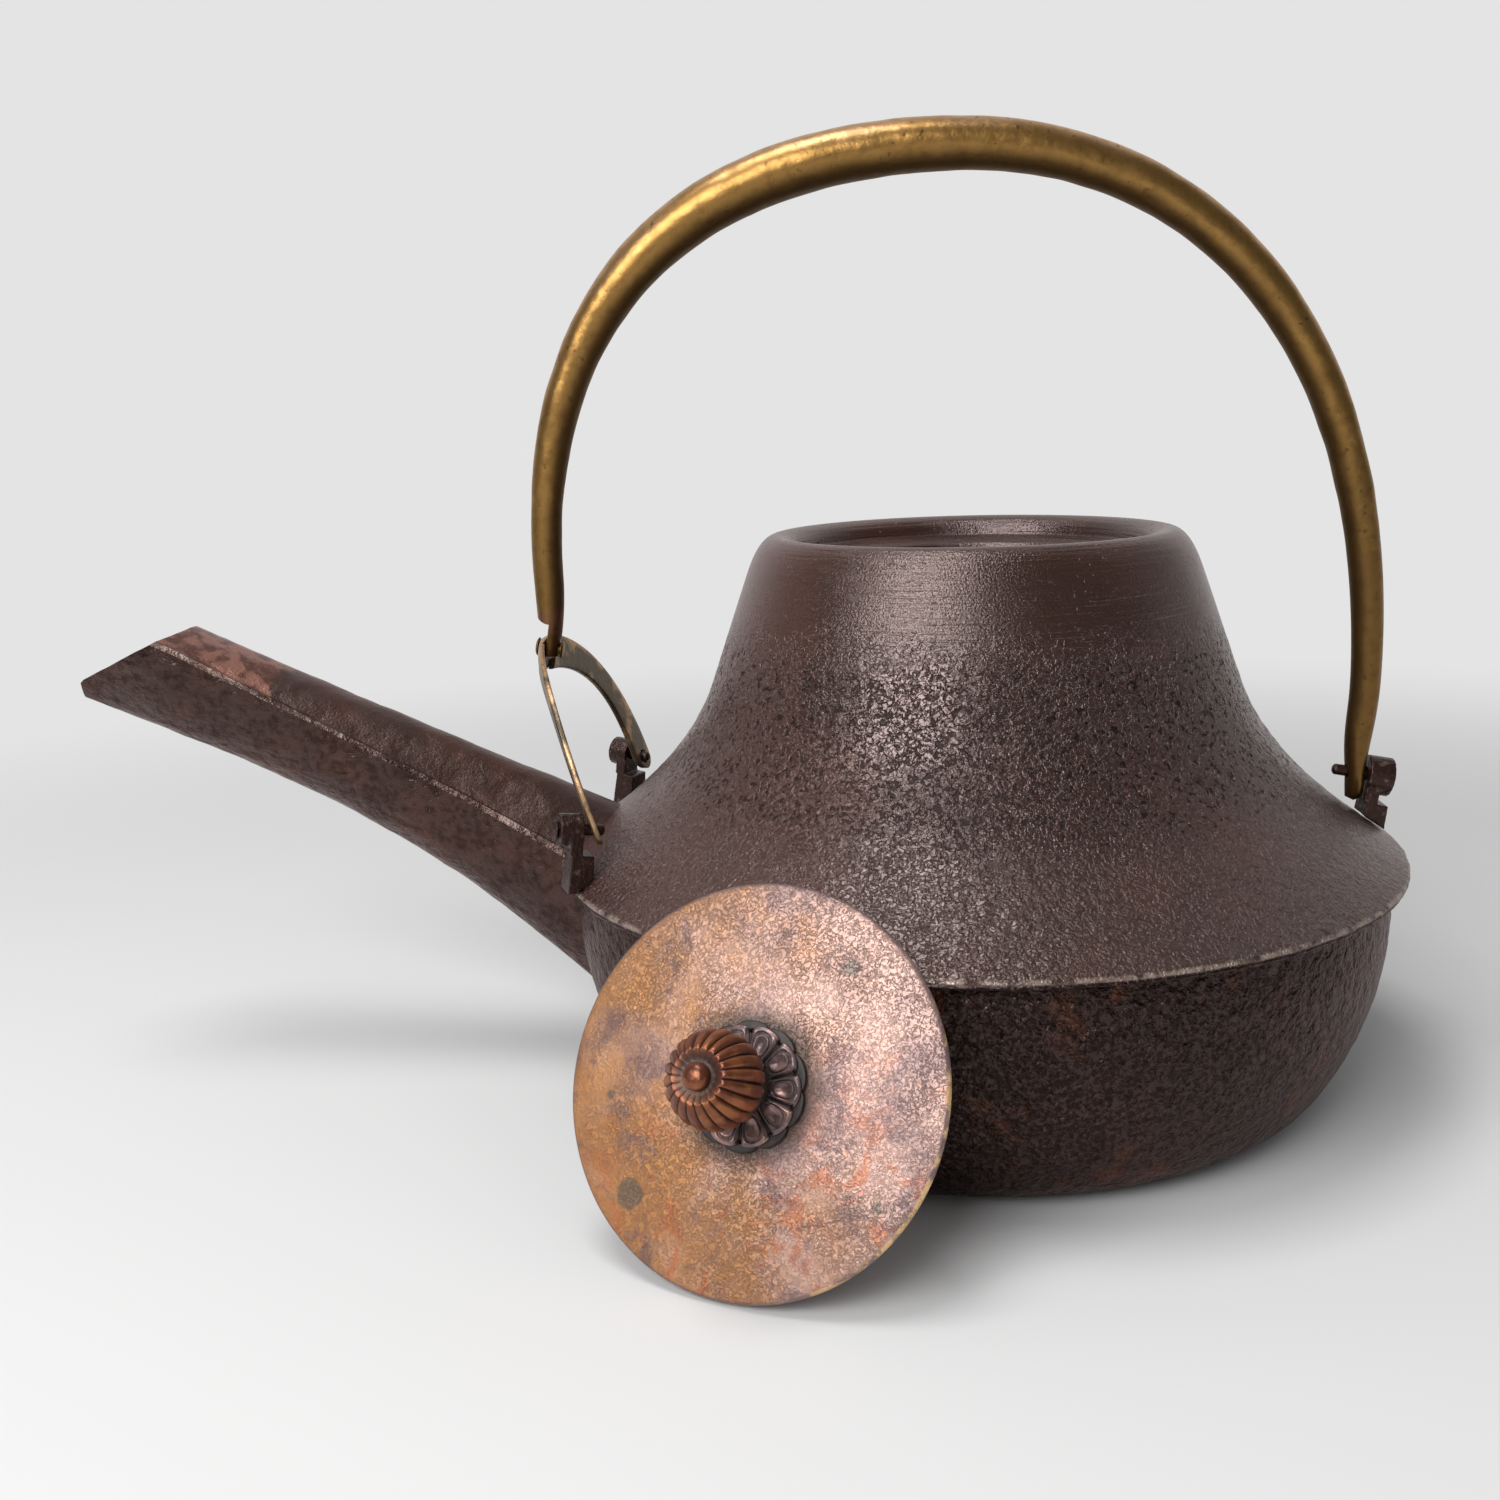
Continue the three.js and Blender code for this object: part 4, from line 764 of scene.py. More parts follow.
def knob_metal(tones, sizes):
    """Red-brown copper with patina in its grooves, a grey dimple, and painted shade on its neck under the ball."""
    copper = Finish("knob_copper")
    local = lid_local(copper, sizes)
    x, y, z = copper.axes(local)
    groove = copper.node("ShaderNodeAttribute", {"attribute_name": "groove"})[2]
    cloud = copper.noise(4 * MM, 3, local, 0.6)
    lobes = copper.ease(cloud + x / (14 * MM) * 0.12 - y / (14 * MM) * 0.10, 0.44, 0.66)
    base = copper.blend(lobes * 0.8, tones.knob, tones.orange_knob)
    # Patina in the ribs' grooves and the dimple, and painted shade on the neck.
    base = copper.blend(copper.ease(groove, 0.30, 1.0) * 0.85, base, tones.patina_and_shade)
    normal = copper.bump(cloud + copper.noise(0.5 * MM, 2, local) * 0.15, 0.14 * MM)
    rough = 0.24 + cloud * 0.12 + groove * 0.15
    return copper.metal(
        base_color=base, roughness=rough, metallic=0.6, specular_ior_level=0.6, normal=normal
    )


def flower_metal(tones, sizes):
    """Violet-grey copper petals, with painted shade under and between them and at the knob's foot, and patina in
    their incised lines.
    """
    copper = Finish("flower_copper")
    local = lid_local(copper, sizes)
    groove = copper.node("ShaderNodeAttribute", {"attribute_name": "groove"})[2]
    cloud = copper.noise(3 * MM, 3, local, 0.6)
    base = copper.blend(copper.ease(cloud, 0.44, 0.62), tones.flower, tones.pink_flower)
    # Painted shade under and between the petals and at the collar, and patina in the petals' lines.
    base = copper.blend(copper.ease(groove, 0.1, 0.8) * 0.95, base, tones.patina_and_shade)
    normal = copper.bump(cloud + copper.noise(0.4 * MM, 2, local) * 0.2, 0.1 * MM)
    rough = groove * 0.2 + 0.33
    return copper.metal(base_color=base, roughness=rough, metallic=0.6, normal=normal)


# Shapes of the kettle's body and spout

def lower_wall(s):
    """The outline from the base's edge up to the flange's underside."""
    top = s.flange_height - s.flange_thickness
    corner = (s.corner_radius, s.corner_height)
    first = (between(s.corner_radius, s.wall_top_radius, 0.65), between(s.corner_height, top, 0.23))
    second = (s.wall_top_radius + s.wall_bulge, between(s.corner_height, top, 0.6))
    wall = curve([corner, first, second, (s.wall_top_radius, top)], 60)
    slope = (first[0] - corner[0]) / (first[1] - corner[1])
    foot = s.corner_radius - slope * s.corner_height
    rounding = curve([(s.base_radius, 0), (foot, 0), corner], 20)
    return rounding + wall[1:]


def upper_wall(s):
    """The outline from the flange's edge up the shoulder and the straight neck."""
    slope = neck_slope(s)
    bend = (s.neck_foot_radius + slope * (s.neck_foot_height - s.bend_height), s.bend_height)
    foot = (s.neck_foot_radius, s.neck_foot_height)
    shoulder = curve([(s.flange_radius, s.flange_height), bend, foot], 80)
    return shoulder + [Vector((s.neck_top_radius, s.neck_top_height))]


def neck_slope(s):
    return (s.neck_foot_radius - s.neck_top_radius) / (s.neck_top_height - s.neck_foot_height)


def rim_and_seat(s):
    """The outline over the rim and down the lid's seat to the mouth."""
    crest = s.neck_top_radius - neck_slope(s) * (s.rim_height - s.neck_top_height)
    roll = curve(
        [(s.neck_top_radius, s.neck_top_height), (crest, s.rim_height), (crest - s.rim_width, s.rim_height)],
        14,
    )
    seat = s.rim_height - s.seat_depth
    inner = curve(
        [(crest - s.rim_width, s.rim_height), (s.seat_radius + 0.4 * MM, s.rim_height - 0.4 * MM),
         (s.seat_radius, seat + 0.8 * MM)], 8,
    )
    turn = curve([(s.seat_radius, seat + 0.8 * MM), (s.seat_radius, seat), (s.seat_radius - MM, seat - 0.05 * MM)], 5)
    fall = seat - s.seat_fall
    lip = curve(
        [(s.mouth_radius + 0.8 * MM, fall + 0.25 * MM), (s.mouth_radius, fall), (s.mouth_radius, fall - 0.8 * MM)], 6
    )
    return roll[1:] + inner[1:] + turn[1:] + lip + [Vector((s.mouth_radius, fall - s.mouth_lip))]


def inner_wall(s):
    """The hollow's outline, from under the seat down to the floor."""
    roof = s.rim_height - s.seat_depth - s.seat_fall - s.mouth_lip * 1.8
    slope = neck_slope(s)
    wall = s.wall * math.hypot(1, slope)
    neck_top = Vector((s.neck_top_radius + slope * (s.neck_top_height - roof) - wall, roof))
    upper = beside(upper_wall(s), s.wall)[:-1][::-1]
    lower = beside(lower_wall(s), s.wall)[::-1]
    line = [neck_top] + [spot for spot in upper if spot.x < lower[0].x] + lower
    return [Vector((s.mouth_radius, roof + 0.5 * MM))] + evenly(line, 4 * MM) + [Vector((0, s.wall))]


def outer_radius(s):
    """Pairs of height and radius of the body's outside."""
    line = lower_wall(s) + upper_wall(s)
    return sorted((spot.y, spot.x) for spot in line)


def keel_table(s, body):
    """Pairs of reach and keel height, from the root out to the lip."""
    wall_line = [(spot.y, spot.x) for spot in lower_wall(body)]
    end = read(wall_line, s.keel_root_height) - body.wall * 1.5
    run = s.lip_reach - end
    end_height = s.keel_root_height - s.keel_root_slope * body.wall * 1.5
    tip, root = run * 0.56, run * 0.3
    line = curve(
        [(s.lip_reach, s.lip_underside),
         (s.lip_reach - tip, s.lip_underside - tip * s.keel_tip_slope),
         (end + root, end_height + root * s.keel_root_slope),
         (end, end_height)], 240,
    )
    return [(spot.x, spot.y) for spot in reversed(line)]


def crest_slope(s, body):
    table = sorted((spot.x, spot.y) for spot in upper_wall(body))
    return (s.crest_height - read(table, s.crest_root)) / (s.crest_reach - s.crest_root)


class SpoutForm:
    """The spout's skin as a place for each reach and turn round the section."""

    def __init__(self, sizes, body, wall):
        self.s, self.wall = sizes, wall
        self.keel = keel_table(sizes, body)
        self.slope = crest_slope(sizes, body)
        self.rise = (sizes.crest_height - sizes.lip_top) / (sizes.lip_reach - sizes.crest_reach)
        self.outline = outer_radius(body)

    def spot(self, reach, turn):
        s = self.s
        step = 0.5 * MM
        lean = (read(self.keel, reach + step) - read(self.keel, reach - step)) / (2 * step)
        floor = read(self.keel, reach) + self.wall * math.hypot(1, lean)
        crest = s.crest_height - self.slope * (s.crest_reach - reach)
        roof = crest - self.wall * math.hypot(1, self.slope)
        share = min((reach - s.crest_root) / (s.crest_reach - s.crest_root), 1)
        arch = between(s.root_arch, s.tip_arch, share)
        nose = smooth(s.lip_reach - reach, 0, s.nose)
        flare = 1 - smooth(reach, self.keel[0][0], self.keel[0][0] + s.flare)
        full = between(s.half, s.root_half, flare)
        half = between(s.lip_half, full, math.sqrt(nose)) - self.wall
        ridge = max(roof - arch, between(floor, roof, 0.5))
        across, up = math.cos(turn), math.sin(turn)
        if up >= 0:
            return Vector((-reach, half * across, ridge + (roof - ridge) * (1 - across * across)))
        side = math.copysign(abs(across) ** 1.15, across)
        return Vector((-reach, half * side, ridge - (ridge - floor) * abs(up) ** 1.15))

    def ridge(self, reach):
        """Height of the ridge between the arched top and the side."""
        return self.spot(reach, 0).z

    def last_reach(self, turn, beyond=0):
        """How far out a line along the skin runs before the slanting mouth cuts it."""
        s = self.s
        near, far = s.crest_root, s.lip_reach
        over = lambda reach: self.spot(reach, turn).z > s.crest_height - self.rise * (reach - s.crest_reach)
        if not over(far):
            return far + beyond
        for _ in range(30):
            middle = (near + far) / 2
            near, far = (near, middle) if over(middle) else (middle, far)
        return near

    def first_reach(self, turn, depth):
        """Where a line along the skin starts, at a depth inside the body's outside."""
        near, far = self.s.crest_root * 0.5, self.s.crest_reach
        for _ in range(30):
            middle = (near + far) / 2
            spot = self.spot(middle, turn)
            inside = math.hypot(spot.x, spot.y) < read(self.outline, spot.z) - depth
            near, far = (middle, far) if inside else (near, middle)
        return near

    def lines(self, count, steps, depth, beyond=0):
        """Rings of points from the root out to the mouth."""
        turns = [2 * math.pi * j / count for j in range(count)]
        ends = [(self.first_reach(turn, depth), self.last_reach(turn, beyond)) for turn in turns]
        rings = []
        for i in range(steps + 1):
            share = i / steps
            rings.append([self.spot(between(a, b, share), turn) for turn, (a, b) in zip(turns, ends)])
        return rings


# Frames of the pins and the bail's path

def pin_frame(radius, angle, height, fall):
    """X out along a pin, Z up, at the ears' inner faces."""
    outward = Vector((math.cos(angle), math.sin(angle), 0))
    along = (outward - UP * fall).normalized()
    side = Vector((-math.sin(angle), math.cos(angle), 0))
    return framed(along, side, outward * radius + UP * height)


def framed(along, side, origin):
    turn = Matrix((along, side, along.cross(side))).transposed().to_4x4()
    return Matrix.Translation(origin) @ turn


class Hardware:
    """Points, frames and paths that the pins, fork and bail share."""

    PIN_RISE = 0.12
    FORK_LEAN = 0.33
    FORK_FOLD = 0.35

    def __init__(self, s):
        self.s = s
        self.rise = s.fork_height - s.rivet_drop
        self.rivet = Vector((-s.crown_radius, 0, s.front_pin_height + self.rise))
        self.rear = Vector((s.rear_ear_radius, 0, s.rear_pin_height))
        self.axis = (self.rear - self.rivet).normalized()
        self.up = self.axis.cross(ACROSS)
        self.fall = -self.axis.z / self.axis.x
        self.rivet_frame = framed(self.axis, ACROSS, self.rivet)
        self.rear_frame = pin_frame(s.rear_ear_radius, 0, s.rear_pin_height, self.fall)
        self.front_frames = [
            pin_frame(s.front_ear_radius, math.pi + side * s.ear_angle, s.front_pin_height, -self.PIN_RISE)
            for side in (-1, 1)
        ]
        self.depth = s.fork_thickness * math.hypot(1, self.FORK_FOLD, self.FORK_LEAN)
        turn = math.tan(s.ear_angle) - self.FORK_FOLD
        stand_off = s.barrel * math.hypot(self.FORK_LEAN + self.PIN_RISE, turn)
        foot = s.front_ear_radius - s.clearance - self.depth - stand_off
        self.foot_width = foot * math.sin(s.ear_angle)
        self.foot_reach = foot * math.cos(s.ear_angle) + self.fold(self.foot_width)
        self.fork_line = [(spot.y, spot.x) for spot in curve(
            [(self.foot_reach, 0),
             (self.foot_reach + self.FORK_LEAN * self.rise * 0.45, self.rise * 0.45),
             (s.crown_radius + self.fall * self.rise * 0.12, self.rise * 0.88),
             (s.crown_radius, self.rise)], 60,
        )]

    def fold(self, across):
        """How far the strip falls back from its middle, at a distance across it."""
        radius = self.s.fold_radius
        return self.FORK_FOLD * (math.hypot(across, radius) - radius)

    def fork_reach(self, rise):
        if rise <= 0:
            return self.foot_reach + self.FORK_LEAN * rise
        if rise >= self.rise:
            return self.s.crown_radius - self.fall * (rise - self.rise)
        return read(self.fork_line, rise)

    def fork_spot(self, across, rise, out):
        """A place in the strip, from its inner face at 0 out to its outer face at 1."""
        reach = self.fork_reach(rise) - self.fold(across) + self.depth * out
        return Vector((-reach, across, self.s.front_pin_height + rise))

    def bail_path(self):
        """Points along the bail, from the tongue's end to the eye's end."""
        s = self.s
        tongue = self.rivet + self.axis * (s.clearance + s.tongue_thickness - s.end_thickness / 2)
        eye = self.rear - self.axis * (s.clearance + s.eye_thickness / 2)
        top = Vector((-s.top_offset, 0, s.top_height))
        front = Vector((tongue.x + s.leg_bend, 0, s.front_height))
        rear = Vector((eye.x + s.eye_bend, 0, s.rear_height))
        ahead = Vector((s.top_front_pull, 0, 0))
        behind = Vector((s.top_rear_pull, 0, 0))
        ease = s.front_pull / 2
        bend = s.rear_pull / 8
        line = [tongue - self.up * s.tongue_drop]
        line += curve([tongue, tongue + self.up * ease, front - UP * ease, front], 12)
        line += curve([front, front + UP * s.front_pull, top - ahead, top], 120)[1:]
        line += curve([top, top + behind, rear + UP * s.rear_pull, rear], 120)[1:]
        line += curve([rear, rear - UP * bend, eye + UP * bend, eye], 30)[1:]
        line.append(eye - UP * s.eye_drop)
        return line


def bail_size(s, travelled, whole):
    """Thickness in the bail's plane and width across it."""
    share = travelled / whole
    if share < 0.4:
        full = between(s.front_diameter, s.top_diameter, smooth(share, 0.03, 0.36))
    else:
        full = between(s.top_diameter, s.rear_diameter, min((share - 0.4) / 0.55, 1))
    grow = lambda share: math.sin(math.pi / 2 * min(max(share, 0), 1))
    front = grow((travelled - s.tongue_drop) / s.tongue_taper)
    rear = grow((whole - travelled - s.eye_drop) / s.eye_taper)
    thick = min(between(s.end_thickness, full, front), between(s.eye_thickness, full, rear))
    wide = between(s.tongue_width, full, front) if share < 0.5 else between(s.eye_width, full, rear)
    rounding = lambda along, drop: math.sqrt(max(1 - max(1 - along / drop, 0) ** 2, 0))
    return thick, wide * rounding(travelled, s.tongue_drop) * rounding(whole - travelled, s.eye_drop)


# Operators

class MakeKettleBody(bpy.types.Operator):
    """Cast body: one turned profile with its skin raised, pierced where the spout opens"""

    bl_idname = "kettle.body"
    bl_label = "Body"

    def execute(self, context):
        s = context.scene.kettle_body
        outer = (
            evenly([Vector((0, 0)), Vector((s.base_radius, 0))], 4 * MM)[:-1]
            + evenly(lower_wall(s), 0.8 * MM)
            + curve([(s.flange_radius - 0.5 * MM, s.flange_height - s.flange_thickness),
                     (s.flange_radius + 0.1 * MM, s.flange_height - s.flange_thickness / 2),
                     (s.flange_radius - 0.15 * MM, s.flange_height)], 4)
            + evenly(upper_wall(s), 0.8 * MM)[1:]
        )
        profile = outer + rim_and_seat(s) + inner_wall(s)
        piece = turned("kettle_body_shell", profile, 400)
        self.raise_skin(piece, s)
        spout = context.scene.kettle_spout
        bore = SpoutForm(spout, s, spout.wall)
        rings = bore.lines(48, 4, 5 * MM)[:2]
        cut(piece, skinned("cutter", [pole(rings[0]), *rings, pole(rings[1])]))
        finished(
            piece, iron_skin(context.scene.kettle_colours), "kettle", "cast_iron", "kettle_body",
            angle=50,
        )
        return {"FINISHED"}

    def raise_skin(self, piece, s):
        """Relief on the shoulder and wall, and a chipped flange edge."""
        outline = outer_radius(s)

        def outside(co):
            radius = math.hypot(co.x, co.y)
            return radius > read(outline, co.z) - 1 * MM and co.z < s.neck_top_height

        def skin(co):
            if not outside(co) or co.z < 1 * MM:
                return 0
            return smooth(co.z, 88 * MM, 78 * MM) * smooth(co.z, 1 * MM, 5 * MM) * 0.8

        def rim_of_flange(co):
            radius = math.hypot(co.x, co.y)
            return smooth(radius, s.flange_radius - 1.5 * MM, s.flange_radius - 0.3 * MM)

        group = weigh(piece, "skin", skin)
        roughen(piece, group, 3.4 * MM, s.relief, "VORONOI_F2_F1", 1, 0.6)
        roughen(piece, group, 2.2 * MM, s.relief, "IMPROVED_PERLIN", 2, 0.5)
        roughen(piece, weigh(piece, "flange", rim_of_flange), 5 * MM, 0.7 * MM, "ORIGINAL_PERLIN", 3, 0.55)
        piece.vertex_groups.clear()


class MakeSpout(bpy.types.Operator):
    """Spout: an outer skin and a bore that meet at the slanting mouth"""

    bl_idname = "kettle.spout"
    bl_label = "Spout"

    def execute(self, context):
        s, body = context.scene.kettle_spout, context.scene.kettle_body
        outer = SpoutForm(s, body, 0).lines(72, 150, 1.2 * MM)
        inner = SpoutForm(s, body, s.wall).lines(72, 60, 1.2 * MM)
        piece = skinned("spout_shell", outer + inner[::-1], closed=True)
        apply_modifier(
            piece, "BEVEL", width=0.45 * MM, segments=3, limit_method="ANGLE",
            angle_limit=math.radians(48),
        )
        group = weigh(piece, "skin", lambda co: smooth(-co.x, 70 * MM, 80 * MM))
        roughen(piece, group, 9 * MM, 0.55 * MM, "ORIGINAL_PERLIN", 2)
        roughen(piece, group, 3 * MM, 0.22 * MM, "ORIGINAL_PERLIN", 2)
        piece.vertex_groups.clear()
        form = SpoutForm(s, body, 0)
        mark(piece, "above", lambda co: smooth(co.z - form.ridge(-co.x), -0.4 * MM, 0.3 * MM))
        finished(piece, spout_skin(context.scene.kettle_colours), "kettle", "spout_iron", "spout")
        return {"FINISHED"}


class MakeEars(bpy.types.Operator):
    """Ears and their pins, softened as old castings are"""

    bl_idname = "kettle.ears"
    bl_label = "Ears and pins"

    def execute(self, context):
        tones = context.scene.kettle_colours
        for kind, slot, rounds in (("ear", "ear_iron", 6), ("pin", "pin_iron", 3)):
            finish = ear_skin(tones, slot)
            for place in ("front_left", "front_right", "rear"):
                node = f"{place}_{kind}"
                piece = softened(f"{node}_worn", node, 0.16 * MM, rounds)
                finished(piece, finish, "kettle", slot, node, angle=180)
        return {"FINISHED"}


class MakeFork(bpy.types.Operator):
    """Fork: a flat strip bent into an arch and folded, drilled for its pins and its rivet"""

    bl_idname = "kettle.fork"
    bl_label = "Fork"

    def execute(self, context):
        s = context.scene.kettle_hardware
        form = Hardware(s)
        stations = self.foot(s, form, -1) + self.arch(s, form) + self.foot(s, form, 1)[::-1]
        rings = [self.ring(form, *station) for station in stations]
        piece = skinned("fork_strip", [pole(rings[0]), *rings, pole(rings[-1])])
        hole = s.pin_radius + s.clearance
        for place in form.front_frames:
            cut(piece, drill(hole, -8 * MM, 3 * MM, place))
        cut(piece, drill(hole, -5 * MM, 5 * MM, form.rivet_frame))
        cut(piece, drill(s.tongue_relief + s.clearance, 0, 5 * MM, form.rivet_frame))
        mark(piece, "rim", lambda co: self.rim(s, form, co))
        finished(piece, fork_metal(context.scene.kettle_colours), "kettle", "fork_brass", "fork")
        return {"FINISHED"}

    def foot(self, s, form, side):
        """The strip's rounded end, as pairs of outer and inner edge."""
        made = []
        for drop in (0.995, 0.95, 0.85, 0.7, 0.5, 0.3, 0.12):
            wide = s.fork_leg / 2 * math.sqrt(1 - drop * drop)
            low = -s.fork_leg / 2 * drop
            made.append((
                (side * (form.foot_width + wide), low), (side * (form.foot_width - wide), low),
            ))
        return made

    def arch(self, s, form):
        outer_width = form.foot_width + s.fork_leg / 2
        inner_width = form.foot_width - s.fork_leg / 2
        made = []
        for i in range(121):
            angle = math.radians(between(-90, 90, i / 120))
            made.append((
                self.oval(outer_width, s.fork_height, angle, 2.05),
                self.oval(inner_width, s.fork_height - s.crown_width, angle, 2.4),
            ))
        return made

    def oval(self, wide, high, angle, roundness):
        """A place on an arch, between a half circle and a box as its roundness grows."""
        out, up = abs(math.sin(angle)) ** (2 / roundness), max(math.cos(angle), 0) ** (2 / roundness)
        return wide * math.copysign(out, angle), high * up

    def ring(self, form, outer, inner):
        """A rectangle with rounded corners across the strip."""
        made = []
        for j in range(24):
            turn = 2 * math.pi * (j + 0.5) / 24
            across, out = (
                math.copysign(abs(value) ** 0.32, value) for value in (math.cos(turn), math.sin(turn))
            )
            share = (1 - across) / 2
            made.append(form.fork_spot(
                between(outer[0], inner[0], share), between(outer[1], inner[1], share), (1 + out) / 2
            ))
        return made

    def rim(self, s, form, co):
        """1 at the strip's outer edge."""
        rise = max(co.z - s.front_pin_height, 0) / s.fork_height
        across = abs(co.y) / (form.foot_width + s.fork_leg / 2)
        return smooth(rise ** 2.05 + across ** 2.05, 0.88, 0.98)


class MakeBail(bpy.types.Operator):
    """Bail: a bar swelling to its top, flattened and drilled at both ends, and its rivet"""

    bl_idname = "kettle.bail"
    bl_label = "Bail and rivet"

    def execute(self, context):
        s = context.scene.kettle_hardware
        form = Hardware(s)
        line = evenly(form.bail_path(), 0.8 * MM)
        whole = sum((b - a).length for a, b in zip(line, line[1:]))
        rings, travelled = [], 0
        for i, centre in enumerate(line):
            if i:
                travelled += (centre - line[i - 1]).length
            along = (line[min(i + 1, len(line) - 1)] - line[max(i - 1, 0)]).normalized()
            out = along.cross(ACROSS).normalized()
            thick, wide = bail_size(s, travelled, whole)
            rings.append([
                centre + out * (thick / 2 * math.cos(turn)) + ACROSS * (wide / 2 * math.sin(turn))
                for turn in (2 * math.pi * j / 40 for j in range(40))
            ])
        piece = skinned("bail_bar", [pole(rings[0]), *rings[1:-1], pole(rings[-1])])
        self.mark_sides(piece, line)
        group = weigh(piece, "bar", lambda co: smooth(co.z, 86 * MM, 100 * MM))
        roughen(piece, group, 9 * MM, 0.45 * MM, "ORIGINAL_PERLIN", 2)
        piece.vertex_groups.clear()
        hole = s.pin_radius + s.clearance
        beyond = 12 * MM
        cut(piece, drill(s.tongue_relief, -beyond, s.clearance, form.rivet_frame))
        lap = s.clearance + s.tongue_thickness
        cut(piece, drill(s.head_radius + s.clearance, lap, beyond, form.rivet_frame))
        cut(piece, drill(s.eye_relief, -s.clearance, beyond, form.rear_frame))
        cut(piece, drill(hole, -beyond, beyond, form.rivet_frame))
        cut(piece, drill(hole, -beyond, beyond, form.rear_frame))
        finish = bail_metal(context.scene.kettle_colours)
        finished(piece, finish, "bail", "bail_brass", "bail", angle=40)
        rivet = softened("crown_rivet_worn", "crown_rivet", 0.12 * MM, 3)
        finished(rivet, finish, "bail", "bail_brass", "crown_rivet", angle=180)
        return {"FINISHED"}

    def mark_sides(self, piece, line):
        """An attribute that is 1 on the bail's outer side and -1 on its inner side."""
        marks = piece.data.attributes.new("outer_side", "FLOAT", "POINT")
        middle = Vector((-2 * MM, 0, 78 * MM))
        for vertex in piece.data.vertices:
            near = min(line, key=lambda spot: (spot - vertex.co).length_squared)
            away = vertex.co - near
            out = (near - middle).normalized()
            size = away.length
            marks.data[vertex.index].value = away.dot(out) / size if size > 0.1 * MM else 0


def mark(piece, name, amount):
    """A vertex attribute from a function of each vertex's place."""
    marks = piece.data.attributes.new(name, "FLOAT", "POINT")
    for vertex in piece.data.vertices:
        marks.data[vertex.index].value = amount(vertex.co)


class MakeLid(bpy.types.Operator):
    """Lid: a thin turned disc with a rounded edge, and the washer under it"""

    bl_idname = "kettle.lid"
    bl_label = "Lid"

    def execute(self, context):
        s = context.scene.kettle_lid
        rise = lambda radius: s.dome * (1 - (radius / s.radius) ** 2)
        hole = s.stud_radius + 0.15 * MM
        radii = [between(hole, s.radius - 0.5 * MM, i / 40) for i in range(41)]
        under = [Vector((radius, rise(radius))) for radius in radii]
        over = [Vector((radius, rise(radius) + s.thickness)) for radius in reversed(radii)]
        edge = [
            Vector((s.radius - 0.5 * MM + 0.5 * MM * math.cos(turn), s.thickness / 2 * (1 + math.sin(turn))))
            for turn in (math.radians(angle) for angle in range(-70, 71, 20))
        ]
        piece = turned("lid_disc", under + edge + over + under[:1], 240)
        group = weigh(piece, "all", lambda co: 1)
        roughen(piece, group, 10 * MM, 0.25 * MM, "ORIGINAL_PERLIN", 2, way="Z")
        piece.vertex_groups.clear()
        finish = lid_metal(context.scene.kettle_colours, s)
        place = lid_place(s)
        piece.data.transform(place)
        finished(piece, finish, "lid", "lid_bronze", "lid")
        washer = softened("under_washer_worn", "under_washer", 0.14 * MM, 3)
        finished(washer, finish, "lid", "lid_bronze", "under_washer", angle=180)
        return {"FINISHED"}


